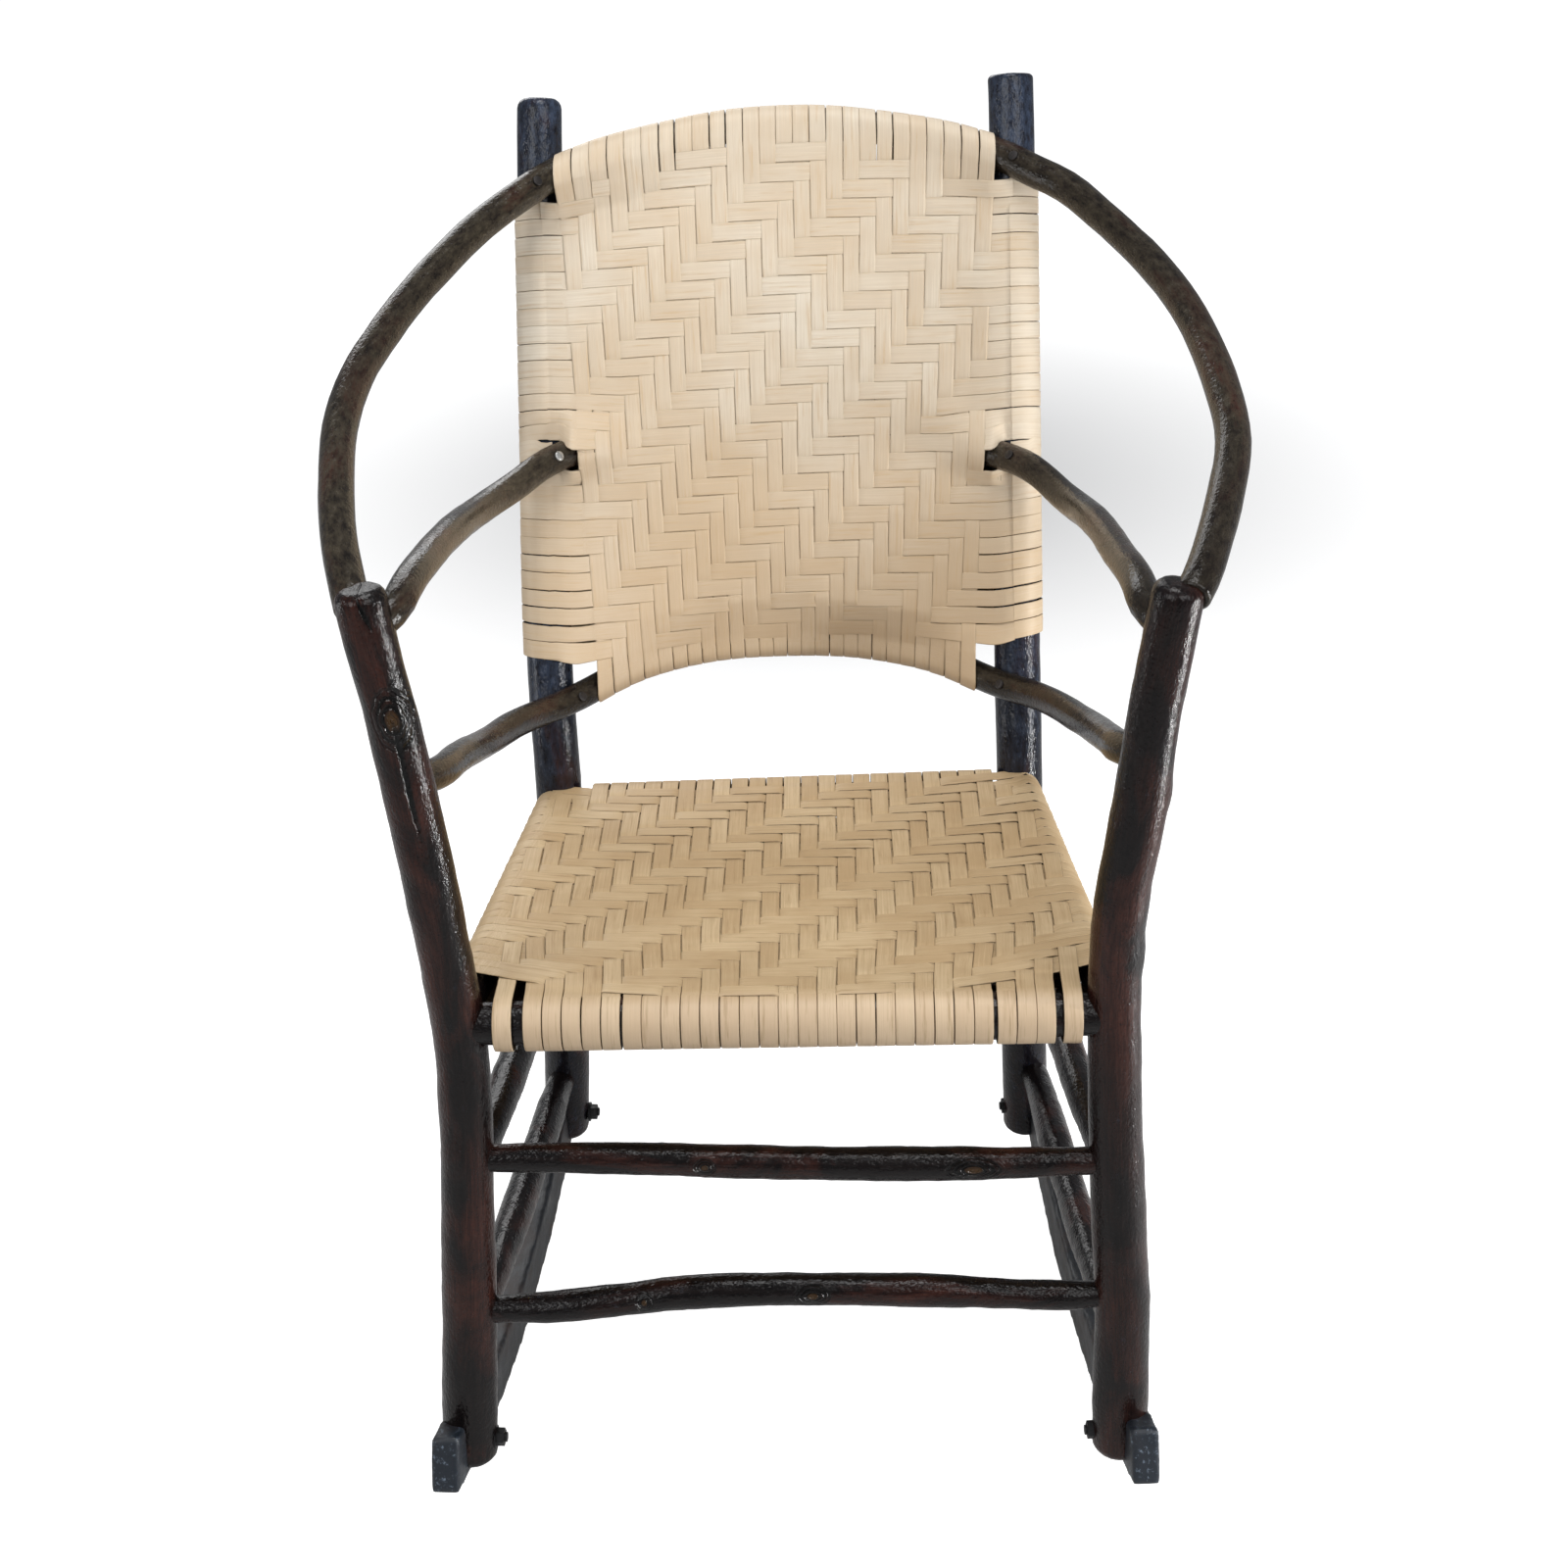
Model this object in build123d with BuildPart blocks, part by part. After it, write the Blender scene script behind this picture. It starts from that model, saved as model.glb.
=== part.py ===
from build123d import *
from math import asin, cos, radians, sin, sqrt, tan
import os

# A hickory pole rocking chair: four peeled pole posts, three bent hoops, a woven seat and a
# woven back, round rungs tenoned into the posts, and two sawn rockers let into the feet.
# Frame: +X to the sitter's left, +Y to the back, +Z up. Left and right in the names are as
# seen from in front of the chair. Origin: on the floor, midway between the two rockers, where
# they touch it when the chair stands at rest.

LEFT, RIGHT = -1, 1
SIDES = {LEFT: "left", RIGHT: "right"}

# ---- driving dimensions, mm ------------------------------------------------------------------
seat_depth = 394.0             # front post axis to back post axis at the seat
balance_point = 264.0          # front post axis at the seat to the rockers' floor contact
front_rail_height = 450.0      # axis of the front seat rail
back_rail_height = 438.0       # axis of the back seat rail
side_rail_front_height = 452.0
side_rail_back_height = 442.0

front_foot_height = 55.0       # underside of a front post
front_foot_half_span = 264.0   # chair centre to the front post axis at the foot
front_knee_half_span = 245.5   # where the axis would turn if it had no bend
front_knee_height = 502.0
front_top_half_span = 284.0    # the front posts spread outwards above the seat
front_post_top = {LEFT: 806.0, RIGHT: 799.0}
front_leg_rake = 0.061         # backward run per unit of height below the seat
front_post_lean = -0.009       # and above it
front_foot_radius = 22.0
front_knee_radius = 20.2
front_top_radius = 18.4
front_bend_radius = 1250.0
front_top_rounding = 7.0

back_foot_height = 34.0
back_foot_half_span = 228.0
back_knee_half_span = 206.3
back_knee_height = 443.0
back_top_half_span = 201.5
back_post_top = {LEFT: 1029.0, RIGHT: 1039.0}
back_leg_rake = -0.218
back_post_lean = 0.295
back_foot_radius = 21.5
back_knee_radius = 20.3
back_top_radius = 19.2
back_bend_radius = 180.0
back_top_rounding = 5.0
top_dome = 1.2                 # height of a post's crown over the rounding of its edge

rocker_radius = 979.0          # floor curve of a rocker
rocker_height = 46.0
rocker_thickness = 22.0
rocker_front_reach = 347.0     # floor contact to the front tip
rocker_back_reach = 347.0      # floor contact to the tail
rocker_end_rounding = 3.0

tenon_length = 16.0            # how far a rung runs into its post
tenon_radius = 9.0
fit_gap = 0.1                  # glue gap round a tenon and in a bolt hole
tenon_spacing = 1.5            # wood left between two tenons that meet in a post
shoulder_gap = 4.2             # bare tenon between a post and the shoulder of a rung
shoulder_length = 14.0         # tapered end of a rung outside the post

front_rail_radius = 20.0
front_rail_tenon_radius = 11.0
side_rail_radius = 16.0
back_rail_radius = 16.0

front_upper_rung_height = 327.0
front_lower_rung_height = 202.0
front_rung_radius = 13.3
side_upper_rung_front_height = 301.0
side_upper_rung_back_height = 267.0
side_lower_rung_front_height = 172.0
side_lower_rung_back_height = 108.0
side_rung_radius = 14.8
back_rung_height = 215.0
back_rung_radius = 13.0
rung_end_slimming = 2.6        # a rung is this much slimmer in radius at its shoulders

top_hoop_radius = 13.2
middle_hoop_radius = 12.5
lower_hoop_radius = 12.3
hoop_tenon_radius = 6.5
hoop_tenon_length = 15.0
top_hoop_end_height = 783.0
middle_hoop_end_height = 779.0
lower_hoop_end_height = 657.0
hoop_end_offset = 9.5          # the top and middle hoops end this far to either side of the post
bend_share = 0.45              # share of the shorter run that a bend takes up

top_hoop_belly = 344.0         # half width of the hoops at their widest corner
top_hoop_crest = 998.0
top_hoop_depth = 589.0         # front post axis to the crest
middle_hoop_belly = 260.0
middle_hoop_crest = 744.0
middle_hoop_depth = 530.0
lower_hoop_belly = 251.0
lower_hoop_crest = 549.0
lower_hoop_depth = 500.0

strip_thickness = 2.0          # woven bark strips over a pole
seat_corner_gap = 2.0          # slack between the woven seat and the posts
back_weave_bottom = 569.0      # lowest and highest edge of the rows that turn round the back posts
back_weave_top = 948.0
back_weave_bottom_half = 167.0  # half width of the columns that turn round the lower hoop
back_weave_top_half = 187.0    # and round the top hoop
back_front_bow = (72.0, 42.0, 36.0)  # how far the front rows bow back: bottom, middle, top
back_rear_bow = (66.0, 48.0, 29.0)

bolt_radius = 4.0
bolt_head_radius = 9.0
bolt_head_height = 4.5
washer_radius = 9.5
washer_thickness = 1.6
nut_size = 13.0                # across the flats
nut_height = 6.5
bolt_end = 2.0                 # thread left standing past the nut
spot_face_depth = 3.0
front_bolt_height = 73.0
back_bolt_height = 56.0

nail_radius = 1.5
nail_head_radius = 3.6
nail_head_height = 1.4
nail_head_sink = 0.8           # how deep a nail head is driven into the hoop
nail_head_taper = 20.0         # degrees
nail_grip = 20.0               # how far a nail runs into the back post

foot_reach = 60.0              # more than any foot is thick, for cuts that run right through
spot_face_gap = 1.0            # room round a washer in its spot face
crossing_steps = 300           # steps along a hoop when looking for the post it crosses

os.makedirs("parts", exist_ok=True)


def save(piece, name):
    piece.part.label = name
    export_step(piece.part, f"parts/{name}.step")


# ---- posts before anything is cut into them --------------------------------------------------
class Post:
    """A tapering pole with one soft bend: a straight leg, a bend and a straight upper run."""

    def __init__(self, side, half_spans, depth, heights, leans, radii, bend_radius, rounding):
        foot_span, knee_span, top_span = half_spans
        foot_height, knee_height, top_height = heights
        leg_rake, lean = leans
        self.radii = radii
        self.rounding = rounding
        knee = Vector(side * knee_span, depth, knee_height)
        drop = knee_height - foot_height
        rise = top_height - rounding - knee_height
        foot = Vector(side * foot_span, depth - leg_rake * drop, foot_height)
        top = Vector(side * top_span, depth + lean * rise, knee_height + rise)
        with BuildLine() as route:
            FilletPolyline(foot, knee, top, radius=bend_radius)
        self.leg, self.bend, self.upper = route.line.edges().sort_by(Axis.Z)
        self.blank = self.solid()

    def run_at(self, z):
        """The run that holds this height, with its lower and its upper end."""
        if z < self.leg_end.Z:
            run = self.leg
        elif z < self.upper_start.Z:
            run = self.bend
        else:
            run = self.upper
        low, high = sorted((run @ 0, run @ 1), key=lambda end: end.Z)
        return run, low, high

    @property
    def leg_end(self):
        return max(self.leg @ 0, self.leg @ 1, key=lambda end: end.Z)

    @property
    def upper_start(self):
        return min(self.upper @ 0, self.upper @ 1, key=lambda end: end.Z)

    def axis(self, z):
        """The point of the post's axis at this height."""
        run, low, high = self.run_at(z)
        if run is not self.bend:
            return low + (high - low) * ((z - low.Z) / (high.Z - low.Z))
        return run.intersect(Plane.XY.offset(z)).vertices()[0].center()

    def radius(self, z):
        run, low, high = self.run_at(z)
        foot_radius, knee_radius, top_radius = self.radii
        if run is self.bend:
            return knee_radius
        ends = (foot_radius, knee_radius) if run is self.leg else (knee_radius, top_radius)
        return ends[0] + (ends[1] - ends[0]) * (z - low.Z) / (high.Z - low.Z)

    def solid(self):
        foot_radius, knee_radius, top_radius = self.radii
        foot = min(self.leg @ 0, self.leg @ 1, key=lambda end: end.Z)
        leg_plane = Plane(origin=foot, z_dir=self.leg_end - foot)
        top = max(self.upper @ 0, self.upper @ 1, key=lambda end: end.Z)
        upper_plane = Plane(origin=self.upper_start, z_dir=top - self.upper_start)
        cap = Plane(origin=top, z_dir=upper_plane.z_dir)
        upright = (Align.CENTER, Align.CENTER, Align.MIN)
        with BuildPart() as blank:
            with Locations(leg_plane):
                Cone(foot_radius, knee_radius, self.leg.length, align=upright)
            with BuildSketch(Plane(origin=self.leg_end, z_dir=leg_plane.z_dir)):
                Circle(knee_radius)
            sweep(path=self.bend)
            with Locations(upper_plane):
                Cone(knee_radius, top_radius, self.upper.length, align=upright)
            with BuildSketch(Plane(origin=cap.origin, x_dir=cap.x_dir, z_dir=-cap.y_dir)):
                with BuildLine():
                    Polyline((0, self.rounding * top_dome), (0, 0), (top_radius, 0))
                    JernArc((top_radius, 0), (0, 1), self.rounding, 90)
                    Line((top_radius - self.rounding, self.rounding), (0, self.rounding * top_dome))
                make_face()
            revolve(axis=Axis(cap.origin, cap.z_dir))
        return blank


posts = {}
for side in SIDES:
    # the front leg's rake is measured from the seat rail, where the depth is set
    front_depth = front_leg_rake * (front_knee_height - front_rail_height) - balance_point
    posts["front", side] = Post(
        side,
        (front_foot_half_span, front_knee_half_span, front_top_half_span),
        front_depth,
        (front_foot_height, front_knee_height, front_post_top[side]),
        (front_leg_rake, front_post_lean),
        (front_foot_radius, front_knee_radius, front_top_radius),
        front_bend_radius,
        front_top_rounding,
    )
    posts["back", side] = Post(
        side,
        (back_foot_half_span, back_knee_half_span, back_top_half_span),
        seat_depth - balance_point,
        (back_foot_height, back_knee_height, back_post_top[side]),
        (back_leg_rake, back_post_lean),
        (back_foot_radius, back_knee_radius, back_top_radius),
        back_bend_radius,
        back_top_rounding,
    )


def front_axis(side, z):
    return posts["front", side].axis(z)


def back_axis(side, z):
    return posts["back", side].axis(z)


def front_radius(z):
    return posts["front", RIGHT].radius(z)


def back_radius(z):
    return posts["back", RIGHT].radius(z)


def cut_hole(plane, radius, depth, both=False):
    """Bore a round hole in the piece that is being built."""
    with BuildSketch(plane) as hole:
        Circle(radius)
    extrude(hole.sketch, amount=depth, both=both, mode=Mode.SUBTRACT)


# ---- rungs and rails -------------------------------------------------------------------------
class Rung:
    """A round rung between two post axes, with a tenon at each end."""

    def __init__(self, name, start, end, posts, radius, tenon, lengths=None):
        self.name = name
        self.start = start
        self.end = end
        self.posts = posts
        self.radius = radius
        self.tenon = tenon
        self.direction = (end - start).normalized()
        self.length = (end - start).length
        sizes = {"front": front_radius, "back": back_radius}
        self.post_radius = [sizes[posts[0][0]](start.Z), sizes[posts[1][0]](end.Z)]
        self.tips = [self.post_radius[i] - (lengths or (tenon_length, tenon_length))[i] for i in (0, 1)]

    def solid(self):
        near = self.post_radius[0] + shoulder_gap
        far = self.length - self.post_radius[1] - shoulder_gap
        end_radius = self.radius - rung_end_slimming
        across = Vector(0, 0, 1).cross(self.direction)
        with BuildPart() as rung:
            with BuildSketch(Plane(origin=self.start, x_dir=self.direction, z_dir=across)):
                with BuildLine():
                    Polyline(
                        (near + shoulder_length, end_radius),
                        (near, self.tenon),
                        (self.tips[0], self.tenon),
                        (self.tips[0], 0),
                        (self.length - self.tips[1], 0),
                        (self.length - self.tips[1], self.tenon),
                        (far, self.tenon),
                        (far - shoulder_length, end_radius),
                    )
                    ThreePointArc(
                        (far - shoulder_length, end_radius),
                        (self.length / 2, self.radius),
                        (near + shoulder_length, end_radius),
                    )
                make_face()
            revolve(axis=Axis(self.start, self.direction))
        return rung

    def cut_mortise(self, post):
        """Bore this rung's hole into the post that is being built."""
        if post not in self.posts:
            return
        index = self.posts.index(post)
        outwards = self.direction if index == 0 else -self.direction
        axis_point = self.start if index == 0 else self.end
        bottom = axis_point + outwards * (self.tips[index] - fit_gap)
        cut_hole(Plane(origin=bottom, z_dir=outwards), self.tenon + fit_gap, 2 * self.post_radius[index])


def cross_rung(name, kind, height, radius, tenon=tenon_radius):
    axis = front_axis if kind == "front" else back_axis
    ends = [(kind, LEFT), (kind, RIGHT)]
    return Rung(name, axis(LEFT, height), axis(RIGHT, height), ends, radius, tenon)


def side_rung(name, side, front_height, back_height, radius, lengths=None):
    ends = [("front", side), ("back", side)]
    start = front_axis(side, front_height)
    end = back_axis(side, back_height)
    return Rung(f"{name}_{SIDES[side]}", start, end, ends, radius, tenon_radius, lengths)


rungs = [
    cross_rung("seat_front_rail", "front", front_rail_height, front_rail_radius, front_rail_tenon_radius),
    cross_rung("seat_back_rail", "back", back_rail_height, back_rail_radius),
    cross_rung("front_stretcher_upper", "front", front_upper_rung_height, front_rung_radius),
    cross_rung("front_stretcher_lower", "front", front_lower_rung_height, front_rung_radius),
    cross_rung("back_stretcher", "back", back_rung_height, back_rung_radius),
]
# the side rails stop short of the tenons that cross them inside the posts
side_rail_tenons = (
    front_radius(side_rail_front_height) - front_rail_tenon_radius - tenon_spacing,
    back_radius(side_rail_back_height) - tenon_radius - tenon_spacing,
)
for side in SIDES:
    rungs += [
        side_rung("seat_side_rail", side, side_rail_front_height, side_rail_back_height,
                  side_rail_radius, side_rail_tenons),
        side_rung("side_stretcher_upper", side, side_upper_rung_front_height,
                  side_upper_rung_back_height, side_rung_radius),
        side_rung("side_stretcher_lower", side, side_lower_rung_front_height,
                  side_lower_rung_back_height, side_rung_radius),
    ]
solids = {}
for rung in rungs:
    solids[rung.name] = rung.solid()
    save(solids[rung.name], rung.name)


# ---- bent hoops and the nails that hold them to the back posts -------------------------------
def place(x, depth, z):
    """A point given by its depth behind the front post axis."""
    return Vector(x, depth - balance_point, z)


def bend_radii(points):
    """As large a bend at each corner as its two runs allow."""
    radii = []
    for before, corner, after in zip(points, points[1:], points[2:]):
        turn = radians((corner - before).get_angle(after - corner))
        run = min((corner - before).length, (after - corner).length)
        radii.append(bend_share * run / tan(turn / 2))
    return radii


class Hoop:
    """A pole bent into a U: it starts in one front post and ends in the other."""

    def __init__(self, name, radius, end_offset, end_height, corners):
        self.name = name
        self.radius = radius
        self.end = front_axis(RIGHT, end_height) + Vector(end_offset, 0, 0)
        half = [self.end] + [place(*corner) for corner in corners]
        points = half + [Vector(-p.X, p.Y, p.Z) for p in reversed(half)]
        self.outwards = (half[1] - half[0]).normalized()
        with BuildLine() as route:
            FilletPolyline(*points, radius=bend_radii(points))
        self.route = route.line
        self.bar = self.tube(radius)

    def tube(self, radius):
        """A round bar along the hoop, as the pole itself or what wraps it."""
        with BuildPart() as bar:
            with BuildSketch(Plane(origin=self.route @ 0, z_dir=self.route % 0)):
                Circle(radius)
            sweep(path=self.route)
        return bar

    def crossing(self, side):
        """Where the hoop's axis passes closest to a back post's axis, and that post point."""
        start = 0.5 if side == LEFT else 0
        spots = [self.route @ (start + 0.5 * step / crossing_steps) for step in range(crossing_steps)]
        hoop_point = min(spots, key=lambda spot: (back_axis(side, spot.Z) - spot).length)
        return hoop_point, back_axis(side, hoop_point.Z)

    def solid(self, nails):
        with BuildPart() as coped:
            add(self.bar.part)
            for side in SIDES:
                add(posts["front", side].blank.part, mode=Mode.SUBTRACT)
            for nail in nails.solids():
                add(nail, mode=Mode.SUBTRACT)
        with BuildPart() as piece:
            add(coped.solids().sort_by(SortBy.VOLUME)[-1])
            for side in SIDES:
                with BuildSketch(self.tenon_plane(side)):
                    Circle(hoop_tenon_radius)
                extrude(amount=hoop_tenon_length + self.radius)
        return piece

    def tenon_plane(self, side):
        """The plane at a tenon's tip, facing back out of the post."""
        outwards = Vector(side * self.outwards.X, self.outwards.Y, self.outwards.Z)
        end = Vector(side * self.end.X, self.end.Y, self.end.Z)
        return Plane(origin=end, z_dir=outwards)

    def cut_mortise(self, side):
        depth = hoop_tenon_length + 2 * front_top_radius
        cut_hole(self.tenon_plane(side).offset(-fit_gap), hoop_tenon_radius + fit_gap, depth)


hoops = [
    Hoop("top_hoop", top_hoop_radius, hoop_end_offset, top_hoop_end_height, [
        (301, 14, 793),
        (top_hoop_belly, 170, 851),
        (316, 330, 907),
        (249, 473, 957),
        (126, top_hoop_depth, top_hoop_crest),
    ]),
    Hoop("middle_hoop", middle_hoop_radius, -hoop_end_offset, middle_hoop_end_height, [
        (middle_hoop_belly, 58, 784),
        (253, 241, 757),
        (249, 364, 732),
        (145, middle_hoop_depth, middle_hoop_crest),
    ]),
    Hoop("lower_hoop", lower_hoop_radius, 0, lower_hoop_end_height, [
        (lower_hoop_belly, 58, 642),
        (244, 303, 554),
        (197, 405, 539),
        (61, lower_hoop_depth, lower_hoop_crest),
    ]),
]
top_hoop, middle_hoop, lower_hoop = hoops

with BuildPart() as hoop_nails:
    for hoop in hoops:
        for side in SIDES:
            hoop_point, post_point = hoop.crossing(side)
            inwards = (post_point - hoop_point).normalized()
            seat_plane = Plane(origin=hoop_point - inwards * (hoop.radius - nail_head_sink), z_dir=inwards)
            with BuildSketch(seat_plane):
                Circle(nail_radius)
            extrude(amount=2 * hoop.radius + nail_grip)
            with BuildSketch(seat_plane):
                Circle(nail_head_radius)
            extrude(amount=-nail_head_height, taper=nail_head_taper)
save(hoop_nails, "hoop_nails")

hoop_solids = {hoop.name: hoop.solid(hoop_nails) for hoop in hoops}
for name, hoop_solid in hoop_solids.items():
    save(hoop_solid, name)


# ---- rockers, bolted into the outer half of the feet -----------------------------------------
def bolt_point(kind, side):
    if kind == "front":
        return front_axis(side, front_bolt_height)
    return back_axis(side, back_bolt_height)


def rocker_plane(side):
    """The upright plane through both feet, at the height of the floor: +X of it to the back."""
    front_point = bolt_point("front", side)
    back_point = bolt_point("back", side)
    run = back_point - front_point
    share = -front_point.Y / run.Y
    contact = Vector(front_point.X + share * run.X, 0, 0)
    along = Vector(run.X, run.Y, 0).normalized()
    return Plane(origin=contact, x_dir=along, z_dir=along.cross(Vector(0, 0, 1)))


def rocker_band(side, lower_radius, rounding=0):
    """A band on the rocker's circle, from its upper edge down to lower_radius, cut radially."""
    front_turn = asin(rocker_front_reach / rocker_radius)
    back_turn = asin(rocker_back_reach / rocker_radius)
    upper_radius = rocker_radius - rocker_height

    def on_circle(radius, turn):
        return (radius * sin(turn), rocker_radius - radius * cos(turn))

    with BuildSketch(rocker_plane(side)) as band:
        with BuildLine():
            ThreePointArc(*[on_circle(lower_radius, turn) for turn in (-front_turn, 0, back_turn)])
            Line(on_circle(lower_radius, back_turn), on_circle(upper_radius, back_turn))
            ThreePointArc(*[on_circle(upper_radius, turn) for turn in (back_turn, 0, -front_turn)])
            Line(on_circle(upper_radius, -front_turn), on_circle(lower_radius, -front_turn))
        make_face()
        if rounding:
            fillet(band.vertices(), rounding)
    return band.sketch


def cut_bolt_hole(kind, side):
    plane = Plane(origin=bolt_point(kind, side), z_dir=rocker_plane(side).z_dir)
    cut_hole(plane, bolt_radius + fit_gap, foot_reach, both=True)


def cut_lap(side):
    """Take away the outer half of a foot, down from the rocker's upper edge."""
    band = rocker_band(side, rocker_radius + foot_reach)
    extrude(band, amount=side * foot_reach, mode=Mode.SUBTRACT)


def build_rocker(side):
    with BuildPart() as rocker:
        extrude(rocker_band(side, rocker_radius, rocker_end_rounding), amount=side * rocker_thickness)
        for kind in ("front", "back"):
            cut_bolt_hole(kind, side)
    return rocker


def spot_face_plane(kind, side):
    """The flat under a washer on the inner side of a foot, facing inwards."""
    inwards = rocker_plane(side).z_dir * -side
    foot_radius = front_foot_radius if kind == "front" else back_foot_radius
    return Plane(origin=bolt_point(kind, side) + inwards * (foot_radius - spot_face_depth), z_dir=inwards)


def cut_spot_face(kind, side):
    cut_hole(spot_face_plane(kind, side), washer_radius + spot_face_gap, foot_reach)


for side, word in SIDES.items():
    save(build_rocker(side), f"rocker_{word}")

feet = [(kind, side) for kind in ("front", "back") for side in SIDES]
with BuildPart() as rocker_washers:
    for kind, side in feet:
        with BuildSketch(spot_face_plane(kind, side)):
            Circle(washer_radius)
            Circle(bolt_radius + fit_gap, mode=Mode.SUBTRACT)
        extrude(amount=washer_thickness)
save(rocker_washers, "rocker_washers")

with BuildPart() as rocker_nuts:
    for kind, side in feet:
        with BuildSketch(spot_face_plane(kind, side).offset(washer_thickness)):
            RegularPolygon(radius=nut_size / 2, side_count=6, major_radius=False)
            Circle(bolt_radius + fit_gap, mode=Mode.SUBTRACT)
        extrude(amount=nut_height)
save(rocker_nuts, "rocker_nuts")

with BuildPart() as rocker_bolts:
    for kind, side in feet:
        face = spot_face_plane(kind, side)
        inwards = face.z_dir
        head_face = bolt_point(kind, side) - inwards * rocker_thickness
        shank_length = (face.origin - head_face).length + washer_thickness + nut_height + bolt_end
        with BuildSketch(Plane(origin=head_face, z_dir=inwards)):
            Circle(bolt_radius)
        extrude(amount=shank_length)
        with BuildSketch(Plane(origin=head_face, x_dir=(0, 0, 1), z_dir=inwards.cross(Vector(0, 0, 1)))):
            with BuildLine():
                Polyline((bolt_head_radius, 0), (0, 0), (0, bolt_head_height))
                ThreePointArc(
                    (0, bolt_head_height),
                    (bolt_head_radius * 0.62, bolt_head_height * 0.76),
                    (bolt_head_radius, 0),
                )
            make_face()
        revolve(axis=Axis(head_face, inwards))
save(rocker_bolts, "rocker_bolts")


# ---- posts -----------------------------------------------------------------------------------
def build_front_post(side):
    with BuildPart() as post:
        add(posts["front", side].blank.part)
        for rung in rungs:
            rung.cut_mortise(("front", side))
        for hoop in hoops:
            hoop.cut_mortise(side)
        cut_lap(side)
        cut_bolt_hole("front", side)
        cut_spot_face("front", side)
    return post


def build_back_post(side):
    """A back post, with a shallow saddle where each hoop is nailed across it."""
    with BuildPart() as post:
        add(posts["back", side].blank.part)
        for rung in rungs:
            rung.cut_mortise(("back", side))
        for hoop in hoops:
            add(hoop.bar.part, mode=Mode.SUBTRACT)
        add(hoop_nails.part, mode=Mode.SUBTRACT)
        cut_lap(side)
        cut_bolt_hole("back", side)
        cut_spot_face("back", side)
    return post


back_posts = {}
for side, word in SIDES.items():
    save(build_front_post(side), f"front_post_{word}")
    back_posts[side] = build_back_post(side)
    save(back_posts[side], f"back_post_{word}")


# ---- woven seat ------------------------------------------------------------------------------
def seat_section(y):
    """Half width and half thickness of the seat at one depth, over rails and strips."""
    start = front_axis(RIGHT, side_rail_front_height)
    end = back_axis(RIGHT, side_rail_back_height)
    share = (y - start.Y) / (end.Y - start.Y)
    half_width = start.X + (end.X - start.X) * share + side_rail_radius + strip_thickness
    half_depth = front_rail_radius + (back_rail_radius - front_rail_radius) * share + strip_thickness
    height = front_rail_height + (back_rail_height - front_rail_height) * share
    return half_width, half_depth, height


front_rail_end = front_axis(RIGHT, front_rail_height)
back_rail_end = back_axis(RIGHT, back_rail_height)
with BuildPart() as seat_weave:
    # front to back: over both rails
    with BuildSketch(Plane.YZ):
        with Locations((front_rail_end.Y, front_rail_height)):
            Circle(front_rail_radius + strip_thickness)
        with Locations((back_rail_end.Y, back_rail_height)):
            Circle(back_rail_radius + strip_thickness)
        make_hull()
    extrude(amount=2 * front_rail_end.X, both=True)
    # side to side: rounded over the side rails, narrowing to the back
    for y in (front_rail_end.Y - 2 * front_rail_radius, back_rail_end.Y + 2 * back_rail_radius):
        half_width, half_depth, height = seat_section(y)
        with BuildSketch(Plane(origin=(0, y, height), x_dir=(1, 0, 0), z_dir=(0, 1, 0))):
            SlotOverall(2 * half_width, 2 * half_depth)
    loft(mode=Mode.INTERSECT)
    # corners left open round the posts
    front_gap = front_radius(front_rail_height) + seat_corner_gap
    back_gap = back_radius(back_rail_height) + seat_corner_gap
    with BuildSketch(Plane.XY.offset(front_rail_height)):
        for side in SIDES:
            with Locations((side * (front_rail_end.X - front_gap), front_rail_end.Y + front_gap)):
                align = Align.MIN if side == RIGHT else Align.MAX
                Rectangle(4 * front_gap, 4 * front_gap, align=(align, Align.MAX))
            with Locations((side * (back_rail_end.X - back_gap), back_rail_end.Y - back_gap)):
                Rectangle(4 * back_gap, 4 * back_gap, align=(align, Align.MIN))
    extrude(amount=4 * front_gap, both=True, mode=Mode.SUBTRACT)
    for name in ("seat_front_rail", "seat_back_rail", "seat_side_rail_left", "seat_side_rail_right"):
        add(solids[name].part, mode=Mode.SUBTRACT)
save(seat_weave, "seat_weave")


# ---- woven back ------------------------------------------------------------------------------
def row_section(z, front_bow, rear_bow):
    """The outline of the woven rows at one height: round both posts and bowed back between."""
    post = back_axis(RIGHT, z)
    reach = back_radius(z) + strip_thickness
    front_y = post.Y - reach
    rear_y = post.Y + reach
    with BuildSketch(Plane.XY.offset(z)) as section:
        with BuildLine():
            ThreePointArc((-post.X, front_y), (0, front_y + front_bow), (post.X, front_y))
            ThreePointArc((post.X, front_y), (post.X + reach, post.Y), (post.X, rear_y))
            ThreePointArc((post.X, rear_y), (0, rear_y + rear_bow), (-post.X, rear_y))
            ThreePointArc((-post.X, rear_y), (-post.X - reach, post.Y), (-post.X, front_y))
        make_face()
    return section.sketch


def column_section(hoop, half_width):
    """The band of columns where it meets a hoop, as thick as the hoop, in the plane of its crest."""
    middle = hoop.route @ 0.5
    spots = [hoop.route @ (0.5 * step / crossing_steps) for step in range(crossing_steps)]
    edge = min(spots, key=lambda spot: abs(spot.X - half_width) + (spot.Y < 0) * seat_depth)
    rise = middle - Vector(0, edge.Y, edge.Z)
    arc = ThreePointArc((-edge.X, -rise.length), (0, 0), (edge.X, -rise.length))
    with BuildSketch(Plane(origin=middle, x_dir=(1, 0, 0), z_dir=Vector(1, 0, 0).cross(rise))) as section:
        SlotArc(arc, 2 * hoop.radius)
    return section.sketch


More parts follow.
